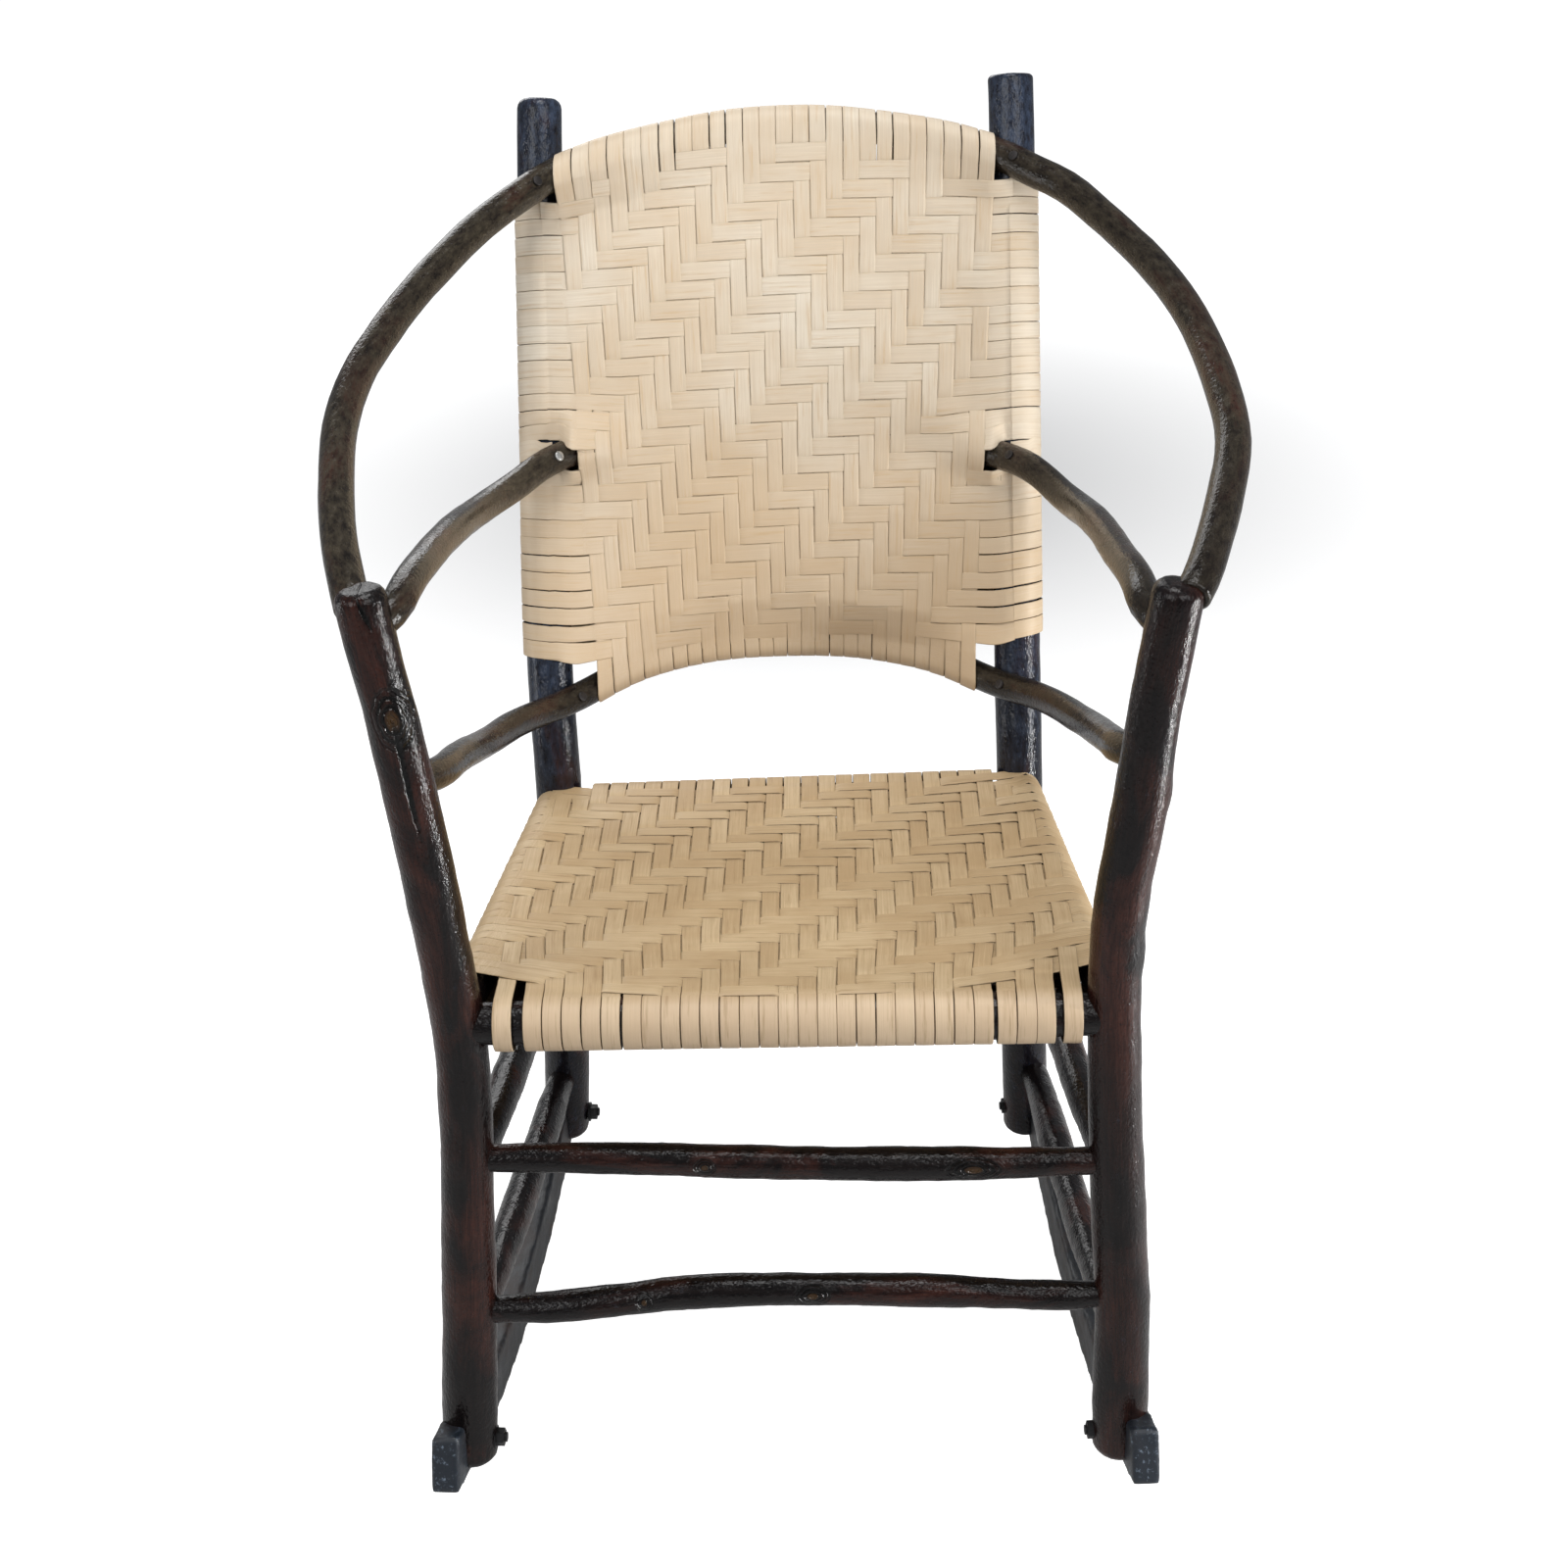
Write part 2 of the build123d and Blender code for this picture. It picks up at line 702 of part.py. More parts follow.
row_heights = (back_weave_bottom, (back_weave_bottom + back_weave_top) / 2, back_weave_top)
with BuildPart() as rows:
    loft([row_section(*row) for row in zip(row_heights, back_front_bow, back_rear_bow)])
with BuildPart() as columns:
    loft([
        column_section(lower_hoop, back_weave_bottom_half),
        column_section(top_hoop, back_weave_top_half),
    ])
wraps = []
for hoop, half_width in ((top_hoop, back_weave_top_half), (lower_hoop, back_weave_bottom_half)):
    bar = hoop.tube(hoop.radius + strip_thickness)
    with BuildPart() as wrap:
        add(bar.part)
        with Locations((0, (hoop.route @ 0.5).Y, (hoop.route @ 0.5).Z)):
            Box(2 * half_width, seat_depth, seat_depth, mode=Mode.INTERSECT)
    wraps.append(wrap)
with BuildPart() as back_weave:
    add(rows.part)
    add(columns.part)
    for wrap in wraps:
        add(wrap.part)
    for hoop in hoops:
        add(hoop.bar.part, mode=Mode.SUBTRACT)
    for side in SIDES:
        add(posts["back", side].blank.part, mode=Mode.SUBTRACT)
    add(hoop_nails.part, mode=Mode.SUBTRACT)
save(back_weave, "back_weave")
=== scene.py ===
import bpy
import math
import random
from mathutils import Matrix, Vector


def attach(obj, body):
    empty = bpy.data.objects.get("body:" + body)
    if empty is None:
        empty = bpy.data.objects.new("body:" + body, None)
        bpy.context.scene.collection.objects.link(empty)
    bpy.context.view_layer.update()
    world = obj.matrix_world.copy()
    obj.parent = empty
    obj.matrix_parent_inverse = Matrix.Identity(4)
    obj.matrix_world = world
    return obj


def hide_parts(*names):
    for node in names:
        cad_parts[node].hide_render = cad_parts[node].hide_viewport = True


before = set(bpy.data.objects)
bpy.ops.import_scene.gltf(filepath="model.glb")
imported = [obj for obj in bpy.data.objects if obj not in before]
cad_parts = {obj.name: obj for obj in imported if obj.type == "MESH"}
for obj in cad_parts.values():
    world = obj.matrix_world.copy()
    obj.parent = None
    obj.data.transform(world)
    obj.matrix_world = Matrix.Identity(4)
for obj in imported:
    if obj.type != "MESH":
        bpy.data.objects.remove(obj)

# A hickory pole rocking chair. Places are written in millimetres, in the frame of the CAD model:
# +X to the sitter's left, +Y to the back, +Z up, with the origin on the floor under the chair.
# Left and right in the names are as seen from in front. Lamps and finishes are in metres.
MM = 0.001
BAR_GAP = 3.0  # metres between the bars as they are made, so that no two lump alike
STRIP = 0.95  # thickness of a bark strip
HOOP_RADIUS = {"top": 13.4, "middle": 12.4, "lower": 12.2}
FRONT_RAIL_Y, FRONT_RAIL_Z = -264, 450
BACK_RAIL_Y, BACK_RAIL_Z = 131, 438
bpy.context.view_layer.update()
centre_lines = {}  # of the poles, in millimetres, by node


def portion(value):
    """Holds a share between 0 and 1."""
    return max(0.0, min(1.0, value))


# ---- camera and light ----------
def set_camera():
    bpy.ops.object.camera_add(location=(0.0424, -1.9153, 1.4547))
    camera = bpy.context.object
    camera.rotation_euler = [math.radians(angle) for angle in (63.9455, 1.4141, 0.6147)]
    camera.data.lens = 58.5
    camera.data.clip_end = 60
    bpy.context.scene.camera = camera


def soft_lamp(name, place, aim, size, power):
    bpy.ops.object.light_add(type="AREA", location=place)
    lamp = bpy.context.object
    lamp.name = name
    lamp.data.shape = "RECTANGLE"
    lamp.data.size, lamp.data.size_y = size
    lamp.data.energy = power
    lamp.rotation_euler = (Vector(aim) - Vector(place)).to_track_quat("-Z", "Y").to_euler()


def set_light():
    """Soft lamps all round, in a faint bluish room that the camera sees as white."""
    soft_lamp("window_lamp", (1.35, -0.42, 0.42), (0, -0.2, 0.5), (0.025, 0.80), 17)
    soft_lamp("left_lamp", (-1.5, -0.1, 0.75), (0, 0.2, 0.7), (0.05, 0.9), 4)
    soft_lamp("fill_lamp", (-2.0, -2.6, 2.3), (0, 0, 0.5), (1.8, 1.8), 37)
    soft_lamp("front_lamp", (1.6, -2.4, 2.6), (0, 0, 0.6), (1.9, 1.9), 39)
    soft_lamp("top_lamp", (0.1, -0.2, 3.2), (0, 0, 0.4), (1.2, 1.2), 38)
    soft_lamp("back_lamp", (-0.9, 2.9, 2.1), (0, 0, 0.6), (1.8, 1.8), 30)
    world = bpy.data.worlds.new("studio")
    bpy.context.scene.world = world
    world.use_nodes = True
    tree = world.node_tree
    background = tree.nodes["Background"]
    background.inputs["Color"].default_value = (0.92, 0.95, 1.0, 1)
    background.inputs["Strength"].default_value = 0.23
    white = tree.nodes.new("ShaderNodeBackground")
    white.inputs["Color"].default_value = (1, 1, 1, 1)
    path = tree.nodes.new("ShaderNodeLightPath")
    mix = tree.nodes.new("ShaderNodeMixShader")
    tree.links.new(path.outputs["Is Camera Ray"], mix.inputs["Fac"])
    tree.links.new(background.outputs["Background"], mix.inputs[1])
    tree.links.new(white.outputs["Background"], mix.inputs[2])
    tree.links.new(mix.outputs["Shader"], tree.nodes["World Output"].inputs["Surface"])


# ---- finishes ----------
class Finish:
    """A procedural material, built up layer by layer."""

    def __init__(self, name, roughness=0.5, **sockets):
        self.material = bpy.data.materials.new(name)
        self.material.use_nodes = True
        self.nodes = self.material.node_tree.nodes
        self.links = self.material.node_tree.links
        self.shader = self.nodes["Principled BSDF"]
        self.shader.inputs["Roughness"].default_value = roughness
        for socket, value in sockets.items():
            self.shader.inputs[socket.replace("_", " ")].default_value = value

    def node(self, kind, inputs=None, **settings):
        node = self.nodes.new("ShaderNode" + kind)
        for name, value in settings.items():
            setattr(node, name, value)
        for name, value in (inputs or {}).items():
            self.plug(node.inputs[name], value)
        return node

    def plug(self, socket, value):
        if isinstance(value, bpy.types.NodeSocket):
            self.links.new(value, socket)
        elif isinstance(value, tuple) and len(value) == 3 and socket.type == "RGBA":
            socket.default_value = (*value, 1)
        else:
            socket.default_value = value

    def attribute(self, name, output="Vector"):
        return self.node("Attribute", attribute_name=name).outputs[output]

    def place(self):
        return self.node("TexCoord").outputs["Object"]

    def stretch(self, vector, scale, shift=(0, 0, 0)):
        inputs = {"Vector": vector, "Scale": scale, "Location": shift}
        return self.node("Mapping", inputs).outputs["Vector"]

    def noise(self, vector, scale, detail=3.0, rough=0.55, twist=0.0):
        inputs = {"Vector": vector, "Scale": scale, "Detail": detail, "Roughness": rough}
        inputs["Distortion"] = twist
        return self.node("TexNoise", inputs).outputs["Fac"]

    def away(self, vector, centre, radii, turn=0.0):
        """Distance from the middle of an egg shape, 1 at its skin."""
        inputs = {"Vector": vector, "Location": centre, "Scale": radii}
        inputs["Rotation"] = (0, math.radians(turn), 0)
        inside = self.node("Mapping", inputs, vector_type="TEXTURE").outputs["Vector"]
        return self.node("VectorMath", {0: inside}, operation="LENGTH").outputs["Value"]

    def between(self, value, low, high, out_low=0.0, out_high=1.0):
        inputs = {"Value": value, "From Min": low, "From Max": high}
        inputs.update({"To Min": out_low, "To Max": out_high})
        return self.node("MapRange", inputs).outputs["Result"]

    def maths(self, operation, first, second=0.0):
        node = self.node("Math", operation=operation)
        self.plug(node.inputs[0], first)
        self.plug(node.inputs[1], second)
        return node.outputs["Value"]

    def times(self, first, second):
        return self.maths("MULTIPLY", first, second)

    def blend(self, share, first, second):
        """Mixes two colours. The node's sockets 6 and 7 in and 2 out are the ones for colour."""
        node = self.node("Mix", data_type="RGBA")
        self.plug(node.inputs["Factor"], share)
        self.plug(node.inputs[6], first)
        self.plug(node.inputs[7], second)
        return node.outputs[2]

    def place_along(self, axis):
        """Where the surface lies along one axis of the model, in metres."""
        return self.node("SeparateXYZ", {"Vector": self.place()}).outputs[axis]

    def colour(self, value):
        self.plug(self.shader.inputs["Base Color"], value)

    def gloss(self, value):
        self.plug(self.shader.inputs["Roughness"], value)

    def relief(self, *layers):
        """Bump layers, each as (height, strength, distance in metres), from coarse to fine."""
        normal = None
        for height, strength, distance in layers:
            inputs = {"Height": height, "Strength": strength, "Distance": distance}
            if normal:
                inputs["Normal"] = normal
            normal = self.node("Bump", inputs).outputs["Normal"]
        self.links.new(normal, self.shader.inputs["Normal"])


def shade(colour, share):
    return tuple(value * share for value in colour)


def mark_away(finish, place, mark):
    """Distance from the middle of a knot or a split, 1 at its edge."""
    *centre, wide, high, turn = mark
    return finish.away(place, [value * MM for value in centre], (wide * MM, 0.05, high * MM), turn)


def pole_finish(name, red, grey, knots=(), splits=(), sheen_and_tint=None):
    """Dark shellacked hickory bark: black-brown, rubbed reddish in patches, with pale scale, and where given
    a painted sheen in patches, fuller higher up.

    A knot or a split is given as (x, y, z, half width, half height, turn in degrees).
    """
    bark = Finish(name, Specular_IOR_Level=0.27)
    straight = bark.attribute("straight")
    patches = bark.noise(bark.stretch(straight, (0.40, 1, 1)), 24, 5, 0.6, 0.6)
    broad = bark.noise(bark.stretch(straight, (0.35, 1, 1), (3, 1, 2)), 8, 3)
    lines = bark.noise(bark.stretch(straight, (0.07, 1, 1)), 520, 4, 0.65)
    flecks = bark.noise(bark.stretch(straight, (0.5, 1, 1), (7, 7, 7)), 170, 5, 0.7)
    beads = bark.noise(bark.stretch(straight, (0.6, 1, 1), (1, 2, 3)), 430, 1, 0.6)
    base = bark.blend(bark.between(lines, 0.35, 0.68), (0.0022, 0.0016, 0.0018), (0.0095, 0.0062, 0.0058))
    reddish = bark.blend(bark.between(lines, 0.3, 0.7), (0.016, 0.0052, 0.0040), (0.056, 0.0180, 0.0120))
    rubbed = bark.times(bark.between(patches, 0.53 - red, 0.66 - red * 0.6), bark.between(broad, 0.36, 0.54))
    colour = bark.blend(rubbed, base, reddish)
    scale = bark.times(bark.between(flecks, 0.62 - grey, 0.74 - grey), bark.between(broad, 0.58, 0.42))
    colour = bark.blend(bark.times(scale, 0.55), colour, (0.028, 0.036, 0.054))
    # Painted sheen in fleck patches, fuller from 0.42 m up: bluish on the back posts; on the hoops a warm
    # tint that is partly their own olive-brown and partly painted sheen.
    if sheen_and_tint:
        broadly = bark.between(broad, 0.34, 0.6, 0.35, 0.8)
        sheen_and_tint_share = bark.times(bark.between(flecks, 0.36, 0.62, 0.15, 1.0), broadly)
        sheen_and_tint_share = bark.times(sheen_and_tint_share, bark.between(bark.place_along("Z"), 0.42, 0.60, 0.15, 1.0))
        colour = bark.blend(sheen_and_tint_share, colour, sheen_and_tint)
    pits = bark.between(bark.noise(straight, 480, 2, 0.6), 0.60, 0.72)
    colour = bark.blend(bark.times(pits, 0.7), colour, (0.0015, 0.0012, 0.0014))
    layers = [(patches, 0.3, 0.002), (lines, 0.35, 0.0005), (flecks, 0.2, 0.0008), (beads, 0.65, 0.0008)]
    if knots or splits:
        place = bark.place()
        wobble = bark.noise(place, 75, 3)
        marks = 0.0
        for knot in knots:
            away = mark_away(bark, place, knot)
            turns = bark.maths("ADD", bark.times(away, 24), bark.times(wobble, 9))
            near = bark.between(away, 1.15, 0.8)
            rings = bark.times(bark.between(bark.maths("SINE", turns), -0.4, 0.6), near)
            colour = bark.blend(bark.times(near, 0.5), colour, (0.004, 0.0028, 0.0024))
            colour = bark.blend(bark.times(rings, 0.9), colour, (0.0006, 0.0006, 0.0006))
            colour = bark.blend(bark.between(away, 0.36, 0.2, 0, 0.8), colour, (0.060, 0.030, 0.010))
            marks = bark.maths("MAXIMUM", marks, rings)
        # Each split is painted near-black: painted shade down in its crack.
        for mark in splits:
            away = bark.maths("ADD", mark_away(bark, place, mark), bark.times(wobble, 1.6))
            split = bark.between(away, 2.0, 1.5)
            colour = bark.blend(split, colour, (0.0005, 0.0005, 0.0005))
            marks = bark.maths("MAXIMUM", marks, split)
        layers.insert(0, (bark.times(marks, -1), 0.9, 0.0014))
    bark.colour(colour)
    bark.gloss(bark.between(flecks, 0.35, 0.68, 0.10, 0.30))
    bark.relief(*layers)
    return bark.material


def rocker_finish():
    """Sawn wood worn blue-black, scuffed pale towards its ends and edges."""
    wood = Finish("worn_rocker", Coat_Weight=0.1, Coat_Roughness=0.3)
    place = wood.place()
    grain = wood.noise(wood.stretch(place, (1, 0.06, 1)), 260, 4, 0.6)
    patches = wood.noise(wood.stretch(place, (1, 0.5, 1)), 28, 5, 0.6, 0.5)
    scuffs = wood.noise(wood.stretch(place, (1, 0.6, 1), (2, 5, 1)), 260, 5, 0.75)
    ends = wood.away(place, (0, 0, 0.05), (10, 0.36, 10))
    base = wood.blend(wood.between(grain, 0.35, 0.7), (0.0030, 0.0042, 0.0062), (0.012, 0.015, 0.020))
    brown = wood.blend(wood.between(patches, 0.5, 0.7, 0, 0.8), base, (0.034, 0.017, 0.011))
    worn = wood.blend(wood.between(ends, 0.80, 0.95), brown, (0.005, 0.010, 0.018))
    pale = wood.times(wood.between(scuffs, 0.57, 0.70), wood.between(ends, 0.6, 0.95, 0.08, 0.75))
    wood.colour(wood.blend(pale, worn, (0.22, 0.28, 0.36)))
    wood.gloss(wood.between(patches, 0.3, 0.7, 0.34, 0.6))
    wood.relief((patches, 0.25, 0.0015), (grain, 0.4, 0.0006), (scuffs, 0.5, 0.0008))
    return wood.material


def strip_finish(name, pale, tan, brown, brown_downwards=0.0, edge=0.7, painted_front_light=0.0):
    """Peeled inner bark in strips: silky, with fine lengthwise fibres and a tone of its own.

    Where asked, the strips are browned towards the bottom, and paled round the front rail as painted light;
    edge darkens their rims and undersides as painted shade.
    """
    strip = Finish(name, 0.5, Coat_Weight=0.05, Coat_Roughness=0.3, Specular_IOR_Level=0.3)
    laid = strip.attribute("laid")
    tone = strip.attribute("tone", "Fac")
    rim = strip.attribute("rim", "Fac")
    fibres = strip.noise(strip.stretch(laid, (0.015, 1, 1)), 900, 5, 0.7)
    bands = strip.noise(strip.stretch(laid, (0.06, 1, 1)), 330, 4, 0.65)
    lengths = strip.noise(strip.stretch(laid, (1, 0.3, 0.3)), 16, 3, 0.6)
    drift = strip.noise(strip.place(), 5.0, 3)
    own = strip.maths("ADD", tone, strip.between(lengths, 0.3, 0.7, -0.6, 0.6))
    colour = strip.blend(strip.between(own, 0.0, 1.0), pale, tan)
    colour = strip.blend(strip.between(drift, 0.44, 0.66, 0.0, 0.45), colour, brown)
    colour = strip.blend(strip.between(fibres, 0.44, 0.70, 0.0, 0.8), colour, shade(tan, 0.9))
    colour = strip.blend(strip.between(fibres, 0.44, 0.34, 0.0, 0.35), colour, shade(pale, 1.06))
    # Browner towards the bottom.
    if brown_downwards:
        colour = strip.blend(strip.between(strip.place_along("Z"), 0.86, 0.56, 0.0, brown_downwards), colour, brown)
    # Painted light: the strips round the front rail paled, as lit from the front.
    if painted_front_light:
        forward = strip.between(strip.place_along("Y"), -0.258, -0.277, 0.0, painted_front_light)
        colour = strip.blend(forward, colour, (0.74, 0.57, 0.41))
    colour = strip.blend(strip.times(strip.between(bands, 0.54, 0.72), 0.65), colour, brown)
    # Rims and undersides are painted shade: the dark slits between strips and the shadow along their edges.
    strip.colour(strip.blend(strip.between(rim, 0.93, 1.0, 0.0, edge), colour, shade(brown, 0.3)))
    strip.gloss(strip.between(fibres, 0.3, 0.7, 0.42, 0.60))
    strip.relief((bands, 0.30, 0.0006), (fibres, 0.35, 0.0004))
    return strip.material


def iron_finish(name, colour, roughness, metallic):
    iron = Finish(name, roughness, Metallic=metallic)
    place = iron.place()
    rust = iron.noise(place, 220, 4, 0.6)
    iron.colour(iron.blend(iron.between(rust, 0.5, 0.7, 0.0, 0.7), colour, shade(colour, 0.45)))
    iron.gloss(iron.between(rust, 0.3, 0.7, roughness - 0.1, roughness + 0.15))
    iron.relief((iron.noise(place, 900, 3), 0.3, 0.0003))
    return iron.material


# ---- tools ----------
def mode(name):
    bpy.ops.object.mode_set(mode=name)


def edit_all():
    """Goes into edit mode with everything picked."""
    mode("EDIT")
    bpy.ops.mesh.select_all(action="SELECT")


def pick(piece):
    bpy.ops.object.select_all(action="DESELECT")
    piece.select_set(True)
    bpy.context.view_layer.objects.active = piece


def set_down(name, mesh):
    """Puts a mesh in the scene as a piece of its own, picked."""
    piece = bpy.data.objects.new(name, mesh)
    bpy.context.collection.objects.link(piece)
    pick(piece)
    return piece


def drop_picks(parts):
    """Leaves nothing picked, and edges or faces to be picked next."""
    mode("EDIT")
    bpy.context.tool_settings.mesh_select_mode = (False, parts == "edges", parts == "faces")
    bpy.ops.mesh.select_all(action="DESELECT")
    mode("OBJECT")


def pick_edges(piece, test):
    """Goes into edit mode with only the edges that pass the test picked."""
    drop_picks("edges")
    points = piece.data.vertices
    for edge in piece.data.edges:
        edge.select = test(*[points[i].co for i in edge.vertices])
    mode("EDIT")


def pick_wide_faces(piece):
    """Goes into edit mode with only the many-sided end faces picked."""
    drop_picks("faces")
    for face in piece.data.polygons:
        face.select = len(face.vertices) > 8
    mode("EDIT")


def apply_all(piece):
    for modifier in list(piece.modifiers):
        bpy.ops.object.modifier_apply(modifier=modifier.name)


def lumps(name, size, depth=2):
    texture = bpy.data.textures.new(name, "CLOUDS")
    texture.noise_scale = size
    texture.noise_depth = depth
    return texture


def roughen(piece, texture, height):
    modifier = piece.modifiers.new("roughen", "DISPLACE")
    modifier.texture = texture
    modifier.texture_coords = "LOCAL"
    modifier.strength = height


def bend_line(points, radii, thickness):
    """A smooth centre line through the given places, with the pole's thickness at each."""
    bpy.ops.curve.primitive_bezier_curve_add()
    line = bpy.context.object
    spline = line.data.splines[0]
    spline.bezier_points.add(len(points) - len(spline.bezier_points))
    for knot, place, radius in zip(spline.bezier_points, points, radii):
        knot.co = Vector(place) * MM
        knot.handle_left_type = knot.handle_right_type = "AUTO"
        knot.radius = radius / thickness
    line.data.resolution_u = 24
    bpy.context.view_layer.update()
    return line


COARSE = lumps("pole_lumps", 0.075)
MIDDLE = lumps("pole_ripples", 0.022)
FINE = lumps("bark_grain", 0.0045, 3)


def pole(node, points, radii, finish, around=32, ring=0.0045, lump=2.6, rim=4.0):
    """A natural pole: a bar with rounded ends, lumps and bark, bent along its centre line."""
    name = node + "_pole"
    thickness = sum(radii) / len(radii)
    if len(radii) == 2:
        steps = len(points) - 1
        radii = [radii[0] + (radii[1] - radii[0]) * i / steps for i in range(steps + 1)]
    line = bend_line(points, radii, thickness)
    length = line.data.splines[0].calc_length()
    start = (len(centre_lines) + 1) * BAR_GAP
    bpy.ops.mesh.primitive_cylinder_add(
        vertices=around, radius=thickness * MM, depth=length,
        location=(start + length / 2, 0, 0), rotation=(0, math.pi / 2, 0))
    bar = bpy.context.object
    bar.name = name
    bpy.ops.object.transform_apply()
    bar.data.name = name
    ends = (start, start + length)
    pick_edges(bar, lambda a, b: any(abs(a.x - x) < 1e-5 and abs(b.x - x) < 1e-5 for x in ends))
    bpy.ops.mesh.bevel(offset=rim * MM, segments=4, affect="EDGES")
    mode("OBJECT")
    pick_edges(bar, lambda a, b: abs(a.x - b.x) > length * 0.8)
    bpy.ops.mesh.subdivide(number_cuts=int(length / ring))
    mode("OBJECT")
    for share in (0.25, 0.4, 0.5):
        pick_wide_faces(bar)
        bpy.ops.mesh.inset(thickness=(thickness - rim) * MM * share * 0.6)
        mode("OBJECT")
    pick_wide_faces(bar)
    bpy.ops.mesh.poke()
    mode("OBJECT")
    straight = bar.data.attributes.new("straight", "FLOAT_VECTOR", "POINT")
    for point, place in zip(bar.data.vertices, straight.data):
        place.vector = point.co
    roughen(bar, COARSE, lump * MM)
    roughen(bar, MIDDLE, lump * 0.42 * MM)
    roughen(bar, FINE, 0.55 * MM)
    apply_all(bar)
    for point in bar.data.vertices:
        point.co.x -= start
    bend = bar.modifiers.new("bend", "CURVE")
    bend.object = line
    bend.deform_axis = "POS_X"
    apply_all(bar)
    bpy.ops.object.shade_smooth()
    bar.data.materials.append(finish)
    centre_lines[node] = [point.co / MM for point in line.to_mesh().vertices]
    line.to_mesh_clear()
    pick(line)
    bpy.ops.object.delete()
    pick(bar)
    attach(bar, "root")
    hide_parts(node)
    return bar


def raise_knot(bar, place, height, spread, sunk=0.0):
    """Pushes out a knot at a place on the pole's surface; a worn one is sunk in the middle."""
    place = Vector(place) * MM
    points = bar.data.vertices
    near = min(points, key=lambda point: (point.co - place).length)
    outwards = near.normal.copy()
    spot = near.co.copy()
    for point in points:
        away = (point.co - spot).length / (spread * MM)
        if away < 1.0 and point.normal.dot(outwards) > 0:
            swell = (1 - away * away) ** 2 * height
            if away < 0.4:
                swell -= (1 - (away / 0.4) ** 2) ** 2 * sunk
            point.co += outwards * swell * MM


class Ribbons:
    """Bark strips gathered into one mesh, each with its fibre direction and its own tone."""

    def __init__(self, seed):
        self.points = []
        self.faces = []
        self.laid = []
        self.tones = []
        self.rims = []
        self.dice = random.Random(seed)

    def strip(self, line, closed):
        """Adds a strip along a line of (place, outward normal, width), which may also give the way across."""
        half = STRIP / 2
        corners = 8
        tone = self.dice.random()
        shift = self.dice.uniform(0, 40)
        sway = self.dice.uniform(0, 6.3)
        first = len(self.points)
        count = len(line)
        run = 0.0
        for i, (place, normal, width, *across_way) in enumerate(line):
            before = line[i - 1][0] if i or closed else place
            after = line[(i + 1) % count][0] if i < count - 1 or closed else place
            along = (after - before).normalized()
            side = across_way[0] if across_way else normal.cross(along).normalized()
            up = along.cross(side).normalized()
            if up.dot(normal) < 0:
                up = -up
            if i:
                run += (place - line[i - 1][0]).length
            place = place + side * 0.22 * math.sin(run / 41 + sway)
            edge = width / 2 + 0.12 * math.sin(run / 19 + sway * 2)
            lean = 0.09 * math.sin(run / 23 + sway * 3)
            section = ((-edge, -half * 0.4), (-edge + 0.5, half), (-edge * 0.72, half + 0.06),
                       (edge * 0.72, half + 0.06), (edge - 0.5, half), (edge, -half * 0.4),
                       (edge - 0.5, -half), (-edge + 0.5, -half))
            for across, height in section:
                # The rim value is 1 at the edges and on the underside, where strip_finish paints shade.
                under = 0.5 + abs(height) / half * 0.5 * (height < 0)
                self.rims.append(min(1.0, max(abs(across) / edge, under)))
                height += lean * across / edge
                self.points.append((place + side * across + up * height) * MM)
                self.laid.append((run * MM, across * MM + shift, height * MM + shift))
                self.tones.append(tone)
        for i in range(count if closed else count - 1):
            here = first + corners * i
            there = first + corners * ((i + 1) % count)
            for k in range(corners):
                beyond = (k + 1) % corners
                self.faces.append((here + k, here + beyond, there + beyond, there + k))
        if not closed:
            last = first + corners * (count - 1)
            self.faces.append(tuple(first + k for k in reversed(range(corners))))
            self.faces.append(tuple(last + k for k in range(corners)))

    def piece(self, name, finish, *nodes):
        mesh = bpy.data.meshes.new(name)
        mesh.from_pydata(self.points, [], self.faces)
        laid = mesh.attributes.new("laid", "FLOAT_VECTOR", "POINT")
        laid.data.foreach_set("vector", [value for place in self.laid for value in place])
        for label, values in (("tone", self.tones), ("rim", self.rims)):
            mesh.attributes.new(label, "FLOAT", "POINT").data.foreach_set("value", values)
        piece = set_down(name, mesh)
        edit_all()
        bpy.ops.mesh.normals_make_consistent(inside=False)
        mode("OBJECT")
        bpy.ops.object.shade_smooth_by_angle(angle=math.radians(50))
        mesh.materials.append(finish)
        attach(piece, "root")
        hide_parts(*nodes)


def at(centre, axis, value, keep=lambda place: True):
    """The place where a centre line passes this value of an axis."""
    for a, b in zip(centre, centre[1:]):
        if (a[axis] - value) * (b[axis] - value) <= 0 and a[axis] != b[axis] and keep(a):
            return a.lerp(b, (value - a[axis]) / (b[axis] - a[axis]))
    return min(centre, key=lambda place: abs(place[axis] - value))


def curve_through(low, middle, high):
    """A parabola through three values, given at 0, 0.5 and 1."""
    def value(share):
        return (low * (1 - share) * (1 - 2 * share) + 4 * middle * share * (1 - share)
                + high * share * (2 * share - 1))
    return value


def over_three(column, row):
    """The twill: a row lies over three columns, then under three, one column on at each row."""
    return (column + row) % 6 in (0, 1, 2)


set_camera()
set_light()
bpy.context.scene.view_settings.view_transform = "Standard"
dark_bark = pole_finish("dark_bark", 0.02, 0.0)
red_bark = pole_finish("reddish_bark", 0.11, 0.0)
knotty_bark = pole_finish("knotty_bark", 0.08, 0.0, [(-269.5, -285, 713, 15, 25, -7)],
                          [(-264, -286, 668, 2.4, 42, -7), (-283, -285, 795, 1.4, 12, -20)])
rung_bark = pole_finish("rung_bark", 0.03, 0.0,
                        [(-64, -285, 330, 9, 7, 0), (143, -285, 324, 22, 9, 0),
                         (-116, -292, 208, 7, 8, 0), (17, -292, 212, 14, 9, 0)])
